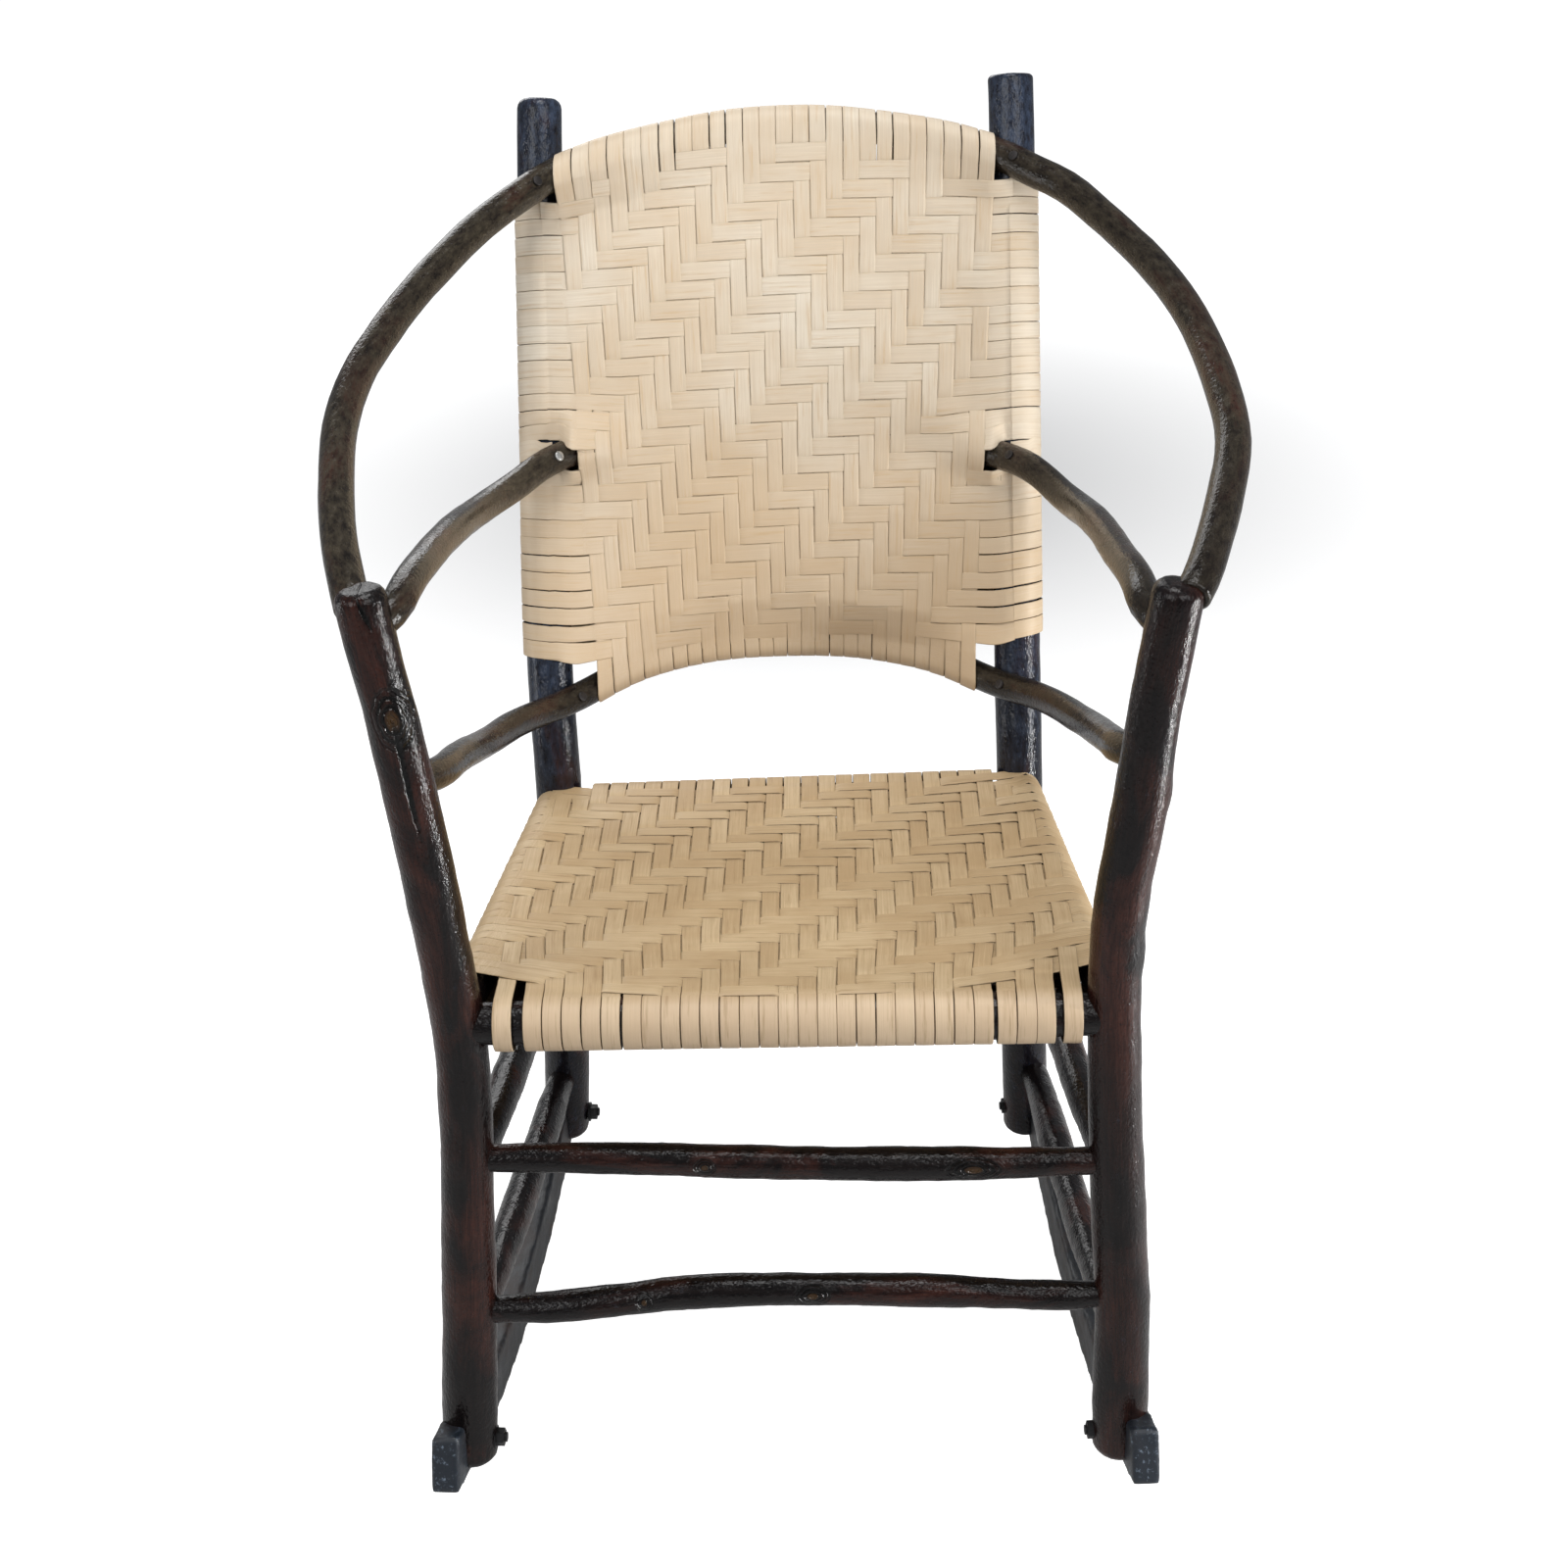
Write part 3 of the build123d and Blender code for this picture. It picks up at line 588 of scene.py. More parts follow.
# The back posts' bluish tint is a painted sheen.
grey_bark = pole_finish("greyish_bark", 0.0, 0.07, sheen_and_tint=(0.046, 0.064, 0.105))
# The hoops' warm tint is partly their own olive-brown, partly painted sheen.
hoop_bark = pole_finish("olive_bark", 0.02, 0.0, sheen_and_tint=(0.060, 0.048, 0.031))

# ---- posts ----------
front_left = pole(
    "front_post_left",
    [(-265, -289, 54), (-263, -286, 100), (-256, -280, 202), (-251, -274, 288), (-247, -269, 372),
     (-246, -265, 427), (-247, -264, 453), (-250, -265, 494), (-255, -267, 550), (-263.5, -267, 627),
     (-273, -267, 703), (-284, -267, 776), (-288, -267, 806)],
    (22.5, 22.3, 21.6, 21, 20.4, 20.2, 20.2, 20.4, 20.2, 19.7, 19.2, 18.8, 18.5),
    knotty_bark, 40, rim=8.5)
front_right = pole(
    "front_post_right",
    [(263, -289, 54), (262, -286, 113), (262, -281, 194), (258.5, -276, 251), (255, -272, 308),
     (250, -266, 418), (248, -264, 472), (250, -266, 540), (260, -267, 617), (271, -267, 717),
     (278, -267, 765), (283, -267, 799)],
    (22.5, 22.2, 21.6, 21.2, 20.8, 20.3, 20.3, 20.3, 19.8, 19.2, 18.8, 18.4),
    red_bark, 40, rim=9.5)
pole(
    "back_post_left",
    [(-232, 221, 33), (-228, 208, 87), (-218, 177, 228), (-208, 142, 390), (-206.5, 135, 462),
     (-210, 162.5, 555), (-207, 222, 760), (-203, 291, 990), (-201.5, 302, 1029)],
    (21.8, 21.5, 21, 20.5, 20.3, 20.2, 19.8, 19.3, 19.2), grey_bark, 36, lump=1.5, rim=9.0)
pole(
    "back_post_right",
    [(225, 219, 33), (223, 210, 78), (216, 179, 219), (208, 142, 390), (206, 136, 467),
     (205, 157, 535), (203.5, 222, 760), (202, 300, 1020), (201.5, 305.5, 1039)],
    (21.8, 21.5, 21, 20.5, 20.3, 20.2, 19.8, 19.3, 19.2), grey_bark, 36, lump=1.5, rim=4.0)

raise_knot(front_left, (-269.5, -287, 713), 2.6, 19, 2.4)
raise_knot(front_left, (-262, -286, 596), 1.2, 16)
raise_knot(front_left, (-249, -289, 340), 1.2, 22)
raise_knot(front_right, (282, -262, 640), 2.6, 22)
raise_knot(front_right, (275, -272, 500), 1.8, 20)
raise_knot(front_right, (262, -300, 250), 1.4, 20)

# ---- hoops ----------
pole(
    "top_hoop",
    [(-293, -266, 789), (-301, -239, 800), (-313, -191, 817), (-324, -119, 842), (-328, -66, 860),
     (-323, -11, 880), (-311, 35, 896), (-293, 87, 914), (-270, 136, 932), (-244, 185, 949),
     (-215, 225, 963), (-187, 257, 974), (-100, 304, 990), (0, 325, 998), (100, 312, 993),
     (186, 275, 980), (218, 246, 970), (243, 222, 962), (266, 185, 949), (288, 146, 935),
     (308, 103, 920), (325, 53, 902), (335.5, -1, 883), (340.5, -51, 866), (341.5, -94, 851),
     (338, -123, 841), (330, -156, 829), (316, -205, 812), (298, -255, 794), (291, -268, 788)],
    [HOOP_RADIUS["top"]] * 2, hoop_bark, 28, 0.005, 1.2, 3.0)
pole(
    "middle_hoop",
    [(-279, -264, 776), (-268, -250, 783), (-263, -215, 787), (-259, -147, 781), (-254, -53, 767),
     (-247, 71, 741), (-228, 133, 737), (-192, 190, 745), (-110, 245, 745), (0, 266, 744),
     (110, 245, 742), (186, 197, 737), (211, 164, 737), (238, 106, 729), (252, -10, 749),
     (258, -127, 765), (262, -200, 774), (266, -246, 770), (277, -264, 764)],
    [HOOP_RADIUS["middle"]] * 2, hoop_bark, 28, 0.005, 1.2, 3.0)
pole(
    "lower_hoop",
    [(-267, -266, 655), (-253, -228, 643), (-249, -151, 619), (-245, -9, 567), (-225, 82, 545),
     (-197, 130, 537), (-110, 212, 546), (0, 236, 549.5), (110, 216, 546), (190, 139, 544),
     (219, 94, 552), (245, -5, 575), (250, -183, 639), (252, -232, 656), (267, -266, 666)],
    [HOOP_RADIUS["lower"]] * 2, hoop_bark, 28, 0.005, 1.2, 3.0)

# ---- rungs ----------
pole("front_stretcher_upper",
     [(-246, -272, 334), (-226, -272, 333.5), (-150, -272, 332), (-74, -272, 329), (0, -272, 325),
      (139, -272, 322), (232, -272, 322.5), (250, -272, 323)],
     (9.6, 10.6, 12.6, 13.3, 13.4, 13.2, 11.2, 10.2), rung_bark, 28, 0.004, 2.4, 2.0)
pole("front_stretcher_lower",
     [(-252, -280, 193), (-234, -280, 194.5), (-193, -280, 196), (-130, -280, 203), (-91, -280, 208),
      (33, -280, 210), (130, -280, 206), (217, -280, 201), (234, -280, 201.5), (252, -280, 202)],
     (9.8, 10.8, 12.4, 13.2, 13.4, 13.2, 12.8, 11.6, 10.6, 9.8), rung_bark, 28, 0.004, 2.6, 2.0)
pole("back_stretcher",
     [(-218, 180, 215), (-100, 181, 218), (60, 180, 213), (216, 180, 215)],
     (10, 13, 13.2, 10), dark_bark, 28, 0.004, 2.4, 2.0)
for side, name in ((-1, "left"), (1, "right")):
    pole(f"side_stretcher_upper_{name}",
         [(side * 250, -273, 304), (side * 248.5, -240, 301), (side * 238, -100, 295),
          (side * 230, 30, 282), (side * 219, 140, 269), (side * 216, 166, 266)],
         (10, 11.6, 14.4, 14.8, 12.6, 10.5), dark_bark, 28, 0.0045, 2.6, 2.0)
    pole(f"side_stretcher_lower_{name}",
         [(side * 257, -282, 172), (side * 254, -250, 167), (side * 246, -90, 142),
          (side * 237, 50, 128), (side * 230, 180, 112), (side * 228, 203, 108)],
         (10, 12, 14.4, 14.8, 12.8, 10.6), dark_bark, 28, 0.0045, 2.6, 2.0)
    pole(f"seat_side_rail_{name}",
         [(side * 247, -258, 452), (side * 236, -150, 449), (side * 218, 20, 445), (side * 207, 126, 442)],
         (13, 15.4, 15.4, 13), dark_bark, 24, 0.008, 0.6, 2.0)
pole("seat_front_rail", [(x, FRONT_RAIL_Y, FRONT_RAIL_Z) for x in (-244, -120, 120, 244)],
     (16, 19.4, 19.4, 16), dark_bark, 32, 0.008, 0.6, 2.0)
pole("seat_back_rail", [(x, BACK_RAIL_Y, BACK_RAIL_Z) for x in (-203, -100, 100, 203)],
     (13, 15.4, 15.4, 13), dark_bark, 28, 0.008, 0.6, 2.0)

# ---- woven back ----------
BACK_COLUMNS = 26
BACK_ROWS = 26
TOP_ROW_Z, ROW_PITCH = 947, 15.28  # in the middle of the back
SHORT_ROWS = ((0, 2), (-1, 7))  # rows above those round the posts, and columns left out at each end
LEFT_CUT, RIGHT_CUT = 15, 16  # rows that end where the middle hoop comes out
WEAVE = 0.62  # how far a strip rides over or dives under
QUARTERS = (-0.5, -0.25, 0.0, 0.25)
BESIDE_POST = [201 - 2.5 * i for i in range(13)]  # close steps in x, because a row twists here
CUT_END = (199,)  # how far out a cut row reaches
ROUND_POST = [12.5 * i - 10 for i in range(17)]  # degrees; 0 is the front
SLACK = {2: 1.4, 9: 1.0, 13: 0.8, 21: 1.4, 23: 1.2, 24: 1.4, 25: 1.6}  # rows narrower beside the posts
TOP_SLACK = {6: 2.0, 9: 1.6, 19: 1.4, 25: 1.8}  # columns narrower at the top

LEAN = 0.295  # how far the back goes back for each step up
TILT = math.hypot(1, LEAN)
UP = Vector((0, 0, 1))
UPWARDS = Vector((0, LEAN, 1)).normalized()  # along the back
OUTWARDS_FRONT = Vector((0, -1, LEAN)).normalized()
OUTWARDS_REAR = -OUTWARDS_FRONT
KNEE_Y, KNEE_Z = 130, 443  # where the back posts bend
POST_TOP = 1039
POST_X = 206  # of the back posts
LOW_EDGE, EDGE_TO_EDGE = 569, 379  # the bows of the layers run from here, over this height
front_bow = curve_through(72, 42, 36)
rear_bow = curve_through(66, 48, 29)

HOOP_STEP, HOOP_END = 4, 232  # the hoops' places are taken at these steps of x, out to this x
HOOP_COVER = {"top": 15.2, "middle": 14.4, "lower": 14.2}  # from a hoop's middle to a strip on it
HOOP_DRAW = {"top": 36, "middle": 34, "lower": 34}  # how far off a hoop still draws the weave
MEETS_TOP, MEETS_LOW = 980, 545  # heights at which the columns reach the hoops
CREST_TOP, CREST_LOW = 985, 540  # heights at which they go over and under them
hoop_spots = {}
for hoop in ("top", "middle", "lower"):
    for x in range(-HOOP_END - HOOP_STEP, HOOP_END + HOOP_STEP + 1, HOOP_STEP):
        hoop_spots[hoop, x] = at(centre_lines[hoop + "_hoop"], 0, x, lambda place: place.y > 0)


def face_out(front):
    return OUTWARDS_FRONT if front else OUTWARDS_REAR


def post_y(z):
    return KNEE_Y + LEAN * (z - KNEE_Z)


def post_reach(z):
    """From a back post's middle line to the middle of a strip on it. The post tapers upwards."""
    return 22.8 - 1.1 * (z - KNEE_Z) / (POST_TOP - KNEE_Z)


def hoop_spot(hoop, x):
    x = max(-HOOP_END, min(HOOP_END, x))
    low = int(math.floor(x / HOOP_STEP) * HOOP_STEP)
    return hoop_spots[hoop, low].lerp(hoop_spots[hoop, low + HOOP_STEP], (x - low) / HOOP_STEP)


def hoop_way(hoop, x):
    """Which way a hoop runs here, for one step of x."""
    return (hoop_spot(hoop, x + 5) - hoop_spot(hoop, x - 5)) / 10


def round_hoop(hoop, x, out):
    """A place on a strip that lies over a hoop, which may run slantwise under it."""
    slant = math.hypot(1, min(1.5, abs(hoop_way(hoop, x).y)))
    return hoop_spot(hoop, x) + Vector((0, out.y * slant, out.z)) * HOOP_COVER[hoop]


def plain_skin(x, z, front):
    """Depth of the front or rear layer as it would be without the hoops."""
    swell = 1 - (x / 197) ** 2
    if abs(x) > 160:
        outer = min(1.0, (abs(x) - 160) / 44)
        swell = (1 - outer) ** 2 * (0.34 + 0.317 * outer)
    bow = (front_bow if front else rear_bow)((z - LOW_EDGE) / EDGE_TO_EDGE)
    reach = post_reach(z) * TILT
    return post_y(z) + (-reach if front else reach) + bow * swell


def drawn_in(hoop, x, z, front):
    """How far a layer is drawn to the top or lower hoop, round which it turns."""
    touch = round_hoop(hoop, x, face_out(front))
    past = z > touch.z if hoop == "top" else z < touch.z
    flat = 9
    away = 0.0 if past else max(0.0, abs(z - touch.z) - flat) / HOOP_DRAW[hoop]
    if away >= 1:
        return 0.0
    fade = 1 - portion((abs(x) - 184) / 20)
    return (touch.y - plain_skin(x, touch.z, front)) * (1 - away) * fade


def pushed_out(x, z):
    """How far the middle hoop, which runs between the layers, pushes the front one forward."""
    touch = round_hoop("middle", x, OUTWARDS_FRONT)
    away = abs(z - touch.z) / HOOP_DRAW["middle"]
    if away >= 1:
        return 0.0
    fade = 1 - portion((abs(x) - 182) / 10)
    return min(0.0, touch.y - plain_skin(x, touch.z, True)) * (1 - away * away) ** 2 * fade


def skin(x, z, front):
    """Depth of the woven back's front or rear layer."""
    y = plain_skin(x, z, front) + drawn_in("top", x, z, front) + drawn_in("lower", x, z, front)
    return y + pushed_out(x, z) if front else y


def steep(x, z, front):
    """The way up along a layer here, for the breadth of a strip."""
    return Vector((0, (skin(x, z + 3, front) - skin(x, z - 3, front)) / 6, 1)).normalized()


def half_width(z):
    """Half the breadth of all the columns, which spread upwards."""
    return 167 + 20 * (z - MEETS_LOW) / 430


def column_x(column, z):
    return (2 * (column + 0.5) / BACK_COLUMNS - 1) * half_width(z)


def row_middle(row):
    return TOP_ROW_Z - ROW_PITCH * (row - 1)


def row_height(row, x, spread=1.0):
    """Height of a row on the front layer: it sags between the posts and makes way for a hoop."""
    left = 943 - 14.4 * (row - 1)
    right = 954 - 14.36 * (row - 1)
    middle = row_middle(row)
    share = max(-1.0, min(1.0, x / 226))
    z = middle + (right - left) / 2 * share + ((left + right) / 2 - middle) * share * share
    nearness = portion((abs(x) - 140) / 45) * spread
    if nearness:
        hoop_z = hoop_spot("middle", x).z
        z += (6.8 if x < 0 else 3.7) * nearness * math.exp(-abs(z - hoop_z) / 60)
        away = z - hoop_z
        if abs(away) > 5:
            z += math.copysign(3.6, away) * math.exp(-abs(abs(away) - 14) / 30) * nearness
    beside = min(1.0, abs(abs(x) - 203) / 26)
    return z + 1.1 * math.cos(math.pi / 2 * beside) ** 2 * spread


def row_level(row, x, front):
    """Height of a row on either layer. Behind, it lies square across from its front."""
    z = row_height(row, x, 1.0 if front else 0.0)
    return z if front else z - LEAN * (plain_skin(x, z, False) - plain_skin(x, z, True))


def row_breadth(row, x, rise, front=True):
    """A row fills its pitch, but some have shrunk beside the posts and leave a slit."""
    spread = 1.0 if front else 0.0
    pitch = (row_height(row - 1, x, spread) - row_height(row + 1, x, spread)) / 2
    filled = 0.985 + 0.027 * portion((abs(x) - 165) / 20)
    return min(21.0, max(13.0, pitch / rise * filled)) - SLACK.get(row, 0.0) * portion((abs(x) - 150) / 30)


def ride_height(heights, position):
    """Offset of a strip at a position counted in crossings, flat over each and quick between."""
    low = math.floor(position)
    first = heights.get(low, 0.0)
    share = portion((position - low - 0.25) / 0.5)
    return first + (heights.get(low + 1, 0.0) - first) * share * share * (3 - 2 * share)


def back_row_line(row, front, first_column, last_column):
    """One row across a layer, as (place, normal, width, breadthways), from low x to high x."""
    flip = 1 if front else -1
    heights = {c: WEAVE * (1 if over_three(c, row) == front else -1) for c in range(BACK_COLUMNS)}
    line = []
    for column in range(first_column, last_column + 1):
        for quarter in QUARTERS:
            position = column + quarter
            x = column_x(position, row_middle(row))
            z = row_level(row, x, front)
            slope = (skin(x + 4, z, front) - skin(x - 4, z, front)) / 8
            normal = (face_out(front) + Vector((slope * flip, 0, 0))).normalized()
            place = Vector((x, skin(x, z, front), z)) + normal * ride_height(heights, position)
            up = steep(x, z, front)
            line.append((place, normal, row_breadth(row, x, up.z, front), up))
    return line


def beside_post(side, row, front, steps=BESIDE_POST):
    """The short way from a back post to the outer column."""
    nearest = half_width(row_middle(row)) + 1.5
    way = []
    for step in steps:
        if step < nearest:
            continue
        x = side * step
        z = row_level(row, x, front)
        up = steep(x, z, front)
        place = Vector((x, skin(x, z, front), z))
        way.append((place, face_out(front), row_breadth(row, x, up.z, front), up))
    return way


def post_turn(side, row):
    """A row's way round the outside of a back post, from its front to its rear."""
    post = centre_lines["back_post_left" if side < 0 else "back_post_right"]
    turn = []
    for angle in map(math.radians, ROUND_POST):
        out = Vector((side * math.sin(angle), 0, 0)) + OUTWARDS_FRONT * math.cos(angle)
        base = row_height(row, side * (POST_X + 20 * math.sin(angle)), (1 + math.cos(angle)) / 2)
        reach = post_reach(base)
        centre = at(post, 2, base - reach * OUTWARDS_FRONT.z)
        turn.append((centre + out * reach, out, row_breadth(row, side * 215, UPWARDS.z), UPWARDS))
    return turn


def weave_back_rows():
    rows = Ribbons(11)
    last = BACK_COLUMNS - 1
    for row in range(1, BACK_ROWS + 1):
        front = back_row_line(row, True, 0, last)
        right = beside_post(1, row, True)[::-1]
        left = beside_post(-1, row, True)
        behind = (post_turn(1, row) + beside_post(1, row, False)
                  + back_row_line(row, False, 0, last)[::-1]
                  + beside_post(-1, row, False)[::-1] + post_turn(-1, row)[::-1])
        if row == LEFT_CUT:
            rows.strip(front + right + behind + beside_post(-1, row, True, CUT_END), False)
        elif row == RIGHT_CUT:
            rows.strip(beside_post(1, row, True, CUT_END) + behind + left + front, False)
        else:
            rows.strip(front + right + behind + left, True)
    for row, left_out in SHORT_ROWS:
        for front in (True, False):
            rows.strip(back_row_line(row, front, left_out, last - left_out), False)
    return rows


def column_crossings(column, front):
    """Where a column meets each row, and how far it rides off its layer there."""
    spots = {}
    heights = {}
    for row in range(-2, BACK_ROWS + 2):
        x = column_x(column, row_middle(row))
        spots[row] = (x, row_level(row, x, front))
        left_out = dict(SHORT_ROWS).get(row, BACK_COLUMNS)
        woven = 1 <= row <= BACK_ROWS or left_out <= column < BACK_COLUMNS - left_out
        heights[row] = WEAVE * (-1 if over_three(column, row) == front else 1) * woven
    return spots, heights


def back_column_line(column, front):
    """One column down a layer, from the top hoop to the lower one, whose slants its breadth takes up."""
    out = face_out(front)
    spots, heights = column_crossings(column, front)
    x_top, x_low = column_x(column, MEETS_TOP), column_x(column, MEETS_LOW)
    top, low = round_hoop("top", x_top, out).z, round_hoop("lower", x_low, out).z
    turning = 16
    line = []
    for row in range(-2, BACK_ROWS + 2):
        for quarter in QUARTERS:
            position = row + quarter
            base = math.floor(position)
            above = spots.get(base, spots[-2])
            below = spots.get(base + 1, above)
            x = above[0] + (below[0] - above[0]) * (position - base)
            z = above[1] + (below[1] - above[1]) * (position - base)
            if not low + 1.5 < z < top - 1.5:
                continue
            place = Vector((x, skin(x, z, front), z)) + out * ride_height(heights, position)
            width = 2 * half_width(z) / BACK_COLUMNS * 0.985
            width -= TOP_SLACK.get(column, 0.0) * portion((z - 945) / 20)
            across = Vector((1, (skin(x + 3, z, front) - skin(x - 3, z, front)) / 6, 0))
            if z > top - turning:
                across = across.lerp(hoop_way("top", x_top), (z - top + turning) / turning)
            if z < low + turning:
                across = across.lerp(hoop_way("lower", x_low), (low + turning - z) / turning)
            line.append((place, out, width, across))
    return line


def half_turn(first, crest, steps):
    """Directions that swing half round from the first one by way of the crest."""
    for i in range(steps + 1):
        angle = math.pi * i / steps
        yield first * math.cos(angle) + crest * math.sin(angle)


def hoop_turn(hoop, x, first, crest, width):
    """A column's way round a hoop, from one face of the weave over the crest to the other."""
    way = hoop_way(hoop, x)
    return [(round_hoop(hoop, x, out), out, width, way) for out in half_turn(first, crest, 10)]


def weave_back_columns():
    columns = Ribbons(23)
    for column in range(BACK_COLUMNS):
        top_width = 14.2 - TOP_SLACK.get(column, 0.0)
        over = hoop_turn("top", column_x(column, CREST_TOP), OUTWARDS_FRONT, UPWARDS, top_width)
        under = hoop_turn("lower", column_x(column, CREST_LOW), OUTWARDS_REAR, -UPWARDS, 12.7)
        front, rear = back_column_line(column, True), back_column_line(column, False)
        columns.strip(front[::-1] + over + rear + under, True)
    return columns


# The back's strips: browner towards the bottom, rims and undersides darkened with painted shade.
back_bark = strip_finish("pale_bark_strip", (0.715, 0.64, 0.525), (0.655, 0.55, 0.42), (0.56, 0.395, 0.225),
                         brown_downwards=0.62, edge=0.45)
weave_back_rows().piece("back_weave_rows", back_bark, "back_weave")
weave_back_columns().piece("back_weave_columns", back_bark, "back_weave")

# ---- woven seat ----------
SEAT_COLUMNS = 29
SEAT_ROWS = 25
SEAT_PITCH = 15.5
SEAT_WEAVE = 1.0  # how far a strip rides over or dives under
SEAT_LEFT = 3 - SEAT_COLUMNS / 2 * SEAT_PITCH
TURN_FRONT, TURN_BACK, TURN_SIDE = -262, 129, 236  # where the strips begin to turn down round the rails
FRONT_GAPS = ((1, 8.5), (6, 1.5), (25, 3.0), (28, 5.5))  # gaps in front, before these columns
FRONT_COVER, BACK_COVER, SIDE_COVER = 21.2, 17.2, 17.4  # from a rail's middle to a strip on it
SIDE_X, SIDE_Z = 247, 452  # the side rails' front ends
SIDE_RUN, SIDE_SPLAY, SIDE_DROP = 394, 41, 10  # how far they run back, in and down


def side_rail(y):
    share = (y - FRONT_RAIL_Y) / SIDE_RUN
    return SIDE_X - SIDE_SPLAY * share, SIDE_Z - SIDE_DROP * share


def seat_lift(x, y):
    """The seat rides up a little towards its right back corner."""
    return 9 * portion((x + 200) / 400) * portion((y + 60) / 190)


def seat_skin(x, y, top):
    """Height of the seat's upper or lower layer between the rails."""
    share = (y - FRONT_RAIL_Y) / (BACK_RAIL_Y - FRONT_RAIL_Y)
    height = FRONT_RAIL_Z - (FRONT_RAIL_Z - BACK_RAIL_Z) * share
    reach = 21.5 - 4 * share
    rail_x, rail_z = side_rail(y)
    edge = min(1.0, abs(x) / rail_x) ** 4
    sag = 4.0 * math.sin(math.pi * portion(share)) * (1 - edge)
    if top:
        return (height + reach) * (1 - edge) + (rail_z + 17.6) * edge - sag + seat_lift(x, y)
    return (height - reach) * (1 - edge) + (rail_z - 17.6) * edge + sag * 0.5


def seat_row_y(row, x):
    """Rows are counted from the back; those near the front curve back round the front posts."""
    share = (row - 1) / (SEAT_ROWS - 1)
    middle = 108 - 367 * share
    share = max(0.0, share)
    curl = 47 * share ** 2.5 + 14 * (1 - share) ** 3
    return middle + curl * min(1.1, abs(x) / 235) ** 3.2


def seat_row_width(row, x):
    return (seat_row_y(row - 1, x) - seat_row_y(row + 1, x)) / 2 * 0.94


def seat_column_x(column, y=-290.0):
    """The columns lie evenly over the seat, and bunch up round the gaps at its front."""
    even = SEAT_LEFT + (column + 0.5) * SEAT_PITCH
    front = -219 + 14.64 * (column + 0.5)
    for before, gap in FRONT_GAPS:
        front += gap * portion(column - before + 1)
    share = portion((y - TURN_FRONT) / 120)
    return front + (even - front) * share * share * (3 - 2 * share)


def seat_column_width(y):
    return 14.4 + 0.35 * portion((y - TURN_FRONT) / 120)


def column_end(column):
    """How far back a column runs: the outer ones end on the side rails."""
    x = abs(seat_column_x(column, 0))
    if x < 180:
        return BACK_RAIL_Y
    return min(96, (SIDE_X - x) / SIDE_SPLAY * SIDE_RUN + FRONT_RAIL_Y - 8)


def seat_row_layer(row, top):
    flip = 1 if top else -1
    heights = {}
    for column in range(SEAT_COLUMNS):
        if seat_row_y(row, seat_column_x(column)) < column_end(column):
            heights[column] = SEAT_WEAVE * (1 if over_three(column, row) == top else -1)
    layer = []
    for column in range(SEAT_COLUMNS):
        for quarter in QUARTERS:
            position = column + quarter
            y = seat_row_y(row, SEAT_LEFT + (position + 0.5) * SEAT_PITCH)
            x = seat_column_x(position, y)
            if abs(x) > side_rail(y)[0] - 5:
                continue
            z = seat_skin(x, y, top) + flip * ride_height(heights, position)
            layer.append((Vector((x, y, z)), Vector((0, 0, flip)), seat_row_width(row, x)))
    return layer


def rail_turn(rail, cover, first, crest, steps, width):
    """A strip's way half round a rail, lifted with the seat where it lies on top."""
    turn = []
    for out in half_turn(first, Vector(crest), steps):
        lift = Vector((0, 0, seat_lift(rail[0], rail[1]) * max(0.0, out.z)))
        turn.append((Vector(rail) + out * cover + lift, out, width))
    return turn


def side_rail_turn(row, side):
    """A row's way round a side rail, from above to below."""
    y = seat_row_y(row, side * TURN_SIDE)
    x, z = side_rail(y)
    return rail_turn((side * x, y, z), SIDE_COVER, UP, (side, 0, 0), 12, seat_row_width(row, TURN_SIDE))


def weave_seat_rows():
    rows = Ribbons(37)
    for row in range(1, SEAT_ROWS + 1):
        above, below = seat_row_layer(row, True), seat_row_layer(row, False)
        rows.strip(above + side_rail_turn(row, 1) + below[::-1] + side_rail_turn(row, -1)[::-1], True)
    return rows


def seat_column_layer(column, top):
    flip = 1 if top else -1
    heights = {}
    for row in range(1, SEAT_ROWS + 1):
        heights[row] = SEAT_WEAVE * (-1 if over_three(column, row) == top else 1)
    seat_x = seat_column_x(column, 0)
    layer = []
    for row in range(0, SEAT_ROWS + 2):
        for quarter in QUARTERS:
            position = row + quarter
            low = math.floor(position)
            share = position - low
            y = seat_row_y(low, seat_x) * (1 - share) + seat_row_y(low + 1, seat_x) * share
            if not TURN_FRONT < y < min(column_end(column), TURN_BACK):
                continue
            x = seat_column_x(column, y)
            z = seat_skin(x, y, top) + flip * ride_height(heights, position)
            layer.append((Vector((x, y, z)), Vector((0, 0, flip)), seat_column_width(y)))
    return layer


def weave_seat_columns():
    columns = Ribbons(41)
    for column in range(SEAT_COLUMNS):
        above, below = seat_column_layer(column, True), seat_column_layer(column, False)
        rail = (seat_column_x(column), FRONT_RAIL_Y, FRONT_RAIL_Z)
        front_turn = rail_turn(rail, FRONT_COVER, -UP, (0, -1, 0), 14, seat_column_width(TURN_FRONT))
        rail = (seat_column_x(column, 0), BACK_RAIL_Y, BACK_RAIL_Z)
        back_turn = rail_turn(rail, BACK_COVER, UP, (0, 1, 0), 14, 15.1)
        if column_end(column) == BACK_RAIL_Y:
            columns.strip(above[::-1] + back_turn + below + front_turn, True)
        else:
            columns.strip(below + front_turn + above[::-1], False)
    return columns


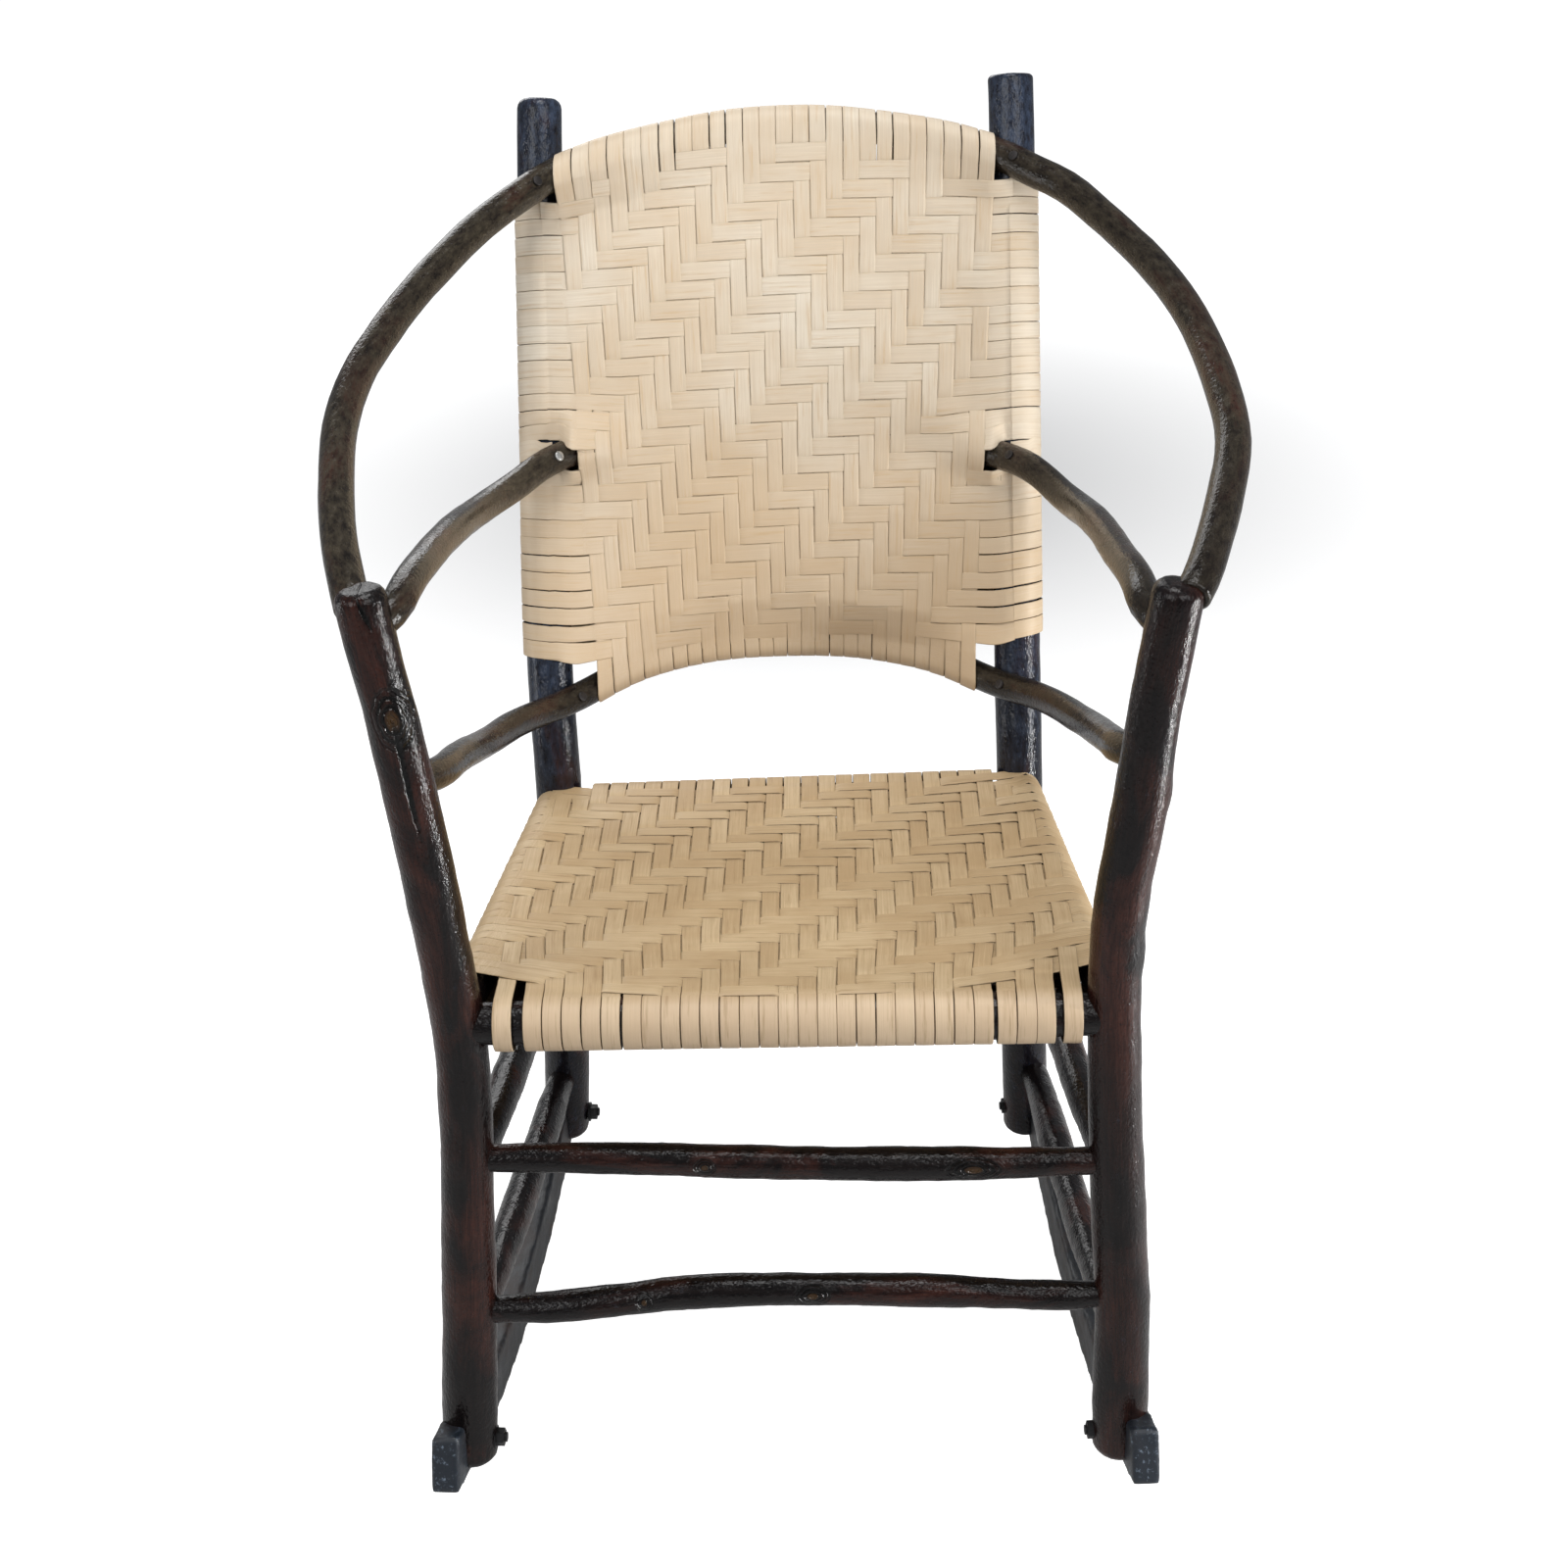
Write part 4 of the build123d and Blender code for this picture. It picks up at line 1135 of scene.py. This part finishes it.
# The seat's strips: paled round the front rail with painted light, rims and undersides darker with painted
# shade for the wide slits.
seat_bark = strip_finish("tan_bark_strip", (0.60, 0.455, 0.275), (0.49, 0.345, 0.19), (0.35, 0.225, 0.11),
                         edge=0.8, painted_front_light=0.5)
weave_seat_rows().piece("seat_weave_rows", seat_bark, "seat_weave")
weave_seat_columns().piece("seat_weave_columns", seat_bark, "seat_weave")


# ---- rockers and iron ----------
def worn_rocker(name):
    """The sawn rocker with its edges rubbed round and its faces slightly uneven."""
    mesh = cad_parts[name].data.copy()
    piece = set_down(name + "_worn", mesh)
    mesh.materials.clear()
    edit_all()
    bpy.ops.mesh.remove_doubles(threshold=0.00002)
    bpy.ops.mesh.dissolve_limited(angle_limit=math.radians(3))
    mode("OBJECT")
    remesh = piece.modifiers.new("remesh", "REMESH")
    remesh.mode = "VOXEL"
    remesh.voxel_size = 0.0022
    smooth = piece.modifiers.new("rub", "SMOOTH")
    smooth.iterations = 6
    roughen(piece, COARSE, 1.2 * MM)
    roughen(piece, MIDDLE, 0.9 * MM)
    apply_all(piece)
    bpy.ops.object.shade_smooth()
    mesh.materials.append(rocker_bark)
    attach(piece, "root")
    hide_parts(name)


def refinish(node, finish):
    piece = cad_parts[node]
    for slot in piece.material_slots:
        slot.material = finish


rocker_bark = rocker_finish()
worn_rocker("rocker_left")
worn_rocker("rocker_right")
black_iron = iron_finish("black_iron", (0.018, 0.018, 0.019), 0.45, 0.6)
for node in ("rocker_bolts", "rocker_washers", "rocker_nuts"):
    refinish(node, black_iron)
bright_nail = iron_finish("bright_nail", (0.62, 0.62, 0.60), 0.32, 0.9)
dark_nail = iron_finish("dark_nail", (0.030, 0.026, 0.025), 0.4, 0.5)
NAIL_RADIUS, NAIL_DEPTH, NAIL_RIM = 4.2, 2.4, 0.7


def nail_head(name, hoop, x, finish):
    """A nail head with a rounded rim, driven into the front of a hoop where it meets the post."""
    way = hoop_way(hoop, x).normalized()
    out = Vector((0.1, -0.94, 0.33))    # forward and a little up, then made square to the hoop
    out = (out - way * out.dot(way)).normalized()
    place = hoop_spot(hoop, x) + out * (HOOP_RADIUS[hoop] + 1.0)
    bpy.ops.mesh.primitive_cylinder_add(
        vertices=32, radius=NAIL_RADIUS * MM, depth=NAIL_DEPTH * MM, location=place * MM,
        rotation=out.to_track_quat("Z", "Y").to_euler())
    head = bpy.context.object
    head.name = name
    bpy.ops.object.transform_apply()
    edit_all()
    bpy.ops.mesh.bevel(offset=NAIL_RIM * MM, segments=3, affect="EDGES")
    mode("OBJECT")
    bpy.ops.object.shade_smooth_by_angle(angle=math.radians(40))
    head.data.materials.append(finish)
    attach(head, "root")
    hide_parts("hoop_nails")


for hoop, left, right in (("top", -207, 207), ("middle", -199, 204), ("lower", -189, 196)):
    nail_head(f"{hoop}_nail_left", hoop, left, bright_nail if hoop == "middle" else dark_nail)
    nail_head(f"{hoop}_nail_right", hoop, right, dark_nail)

# ---- floor ----------
# The floor lights the chair as mid grey, so that the dark bark doesn't pale, and looks white itself.
bpy.ops.mesh.primitive_plane_add(size=14, location=(0, 2, 0))
floor = bpy.context.object
floor.name = "studio_floor"
floor_paint = Finish("floor_paint", 0.9, Specular_IOR_Level=0.1, Emission_Color=(1, 1, 1, 1))
cloudy = floor_paint.noise(floor_paint.place(), 3)
floor_paint.colour(floor_paint.blend(cloudy, (0.46, 0.46, 0.46), (0.48, 0.48, 0.48)))
seen = floor_paint.node("LightPath")
mirrored = floor_paint.times(seen.outputs["Is Glossy Ray"], 0.15)
shown = floor_paint.maths("MAXIMUM", seen.outputs["Is Camera Ray"], mirrored)
shown = floor_paint.maths("MAXIMUM", shown, seen.outputs["Is Transmission Ray"])
spot = floor_paint.away(floor_paint.place(), (0, 0.2, 0), (2.4, 2.4, 2.4))
whiteness = floor_paint.between(spot, 0.12, 0.55, 0.22, 0.96)
glow = floor_paint.shader.inputs["Emission Strength"]
floor_paint.plug(glow, floor_paint.times(shown, whiteness))
floor.data.materials.append(floor_paint.material)
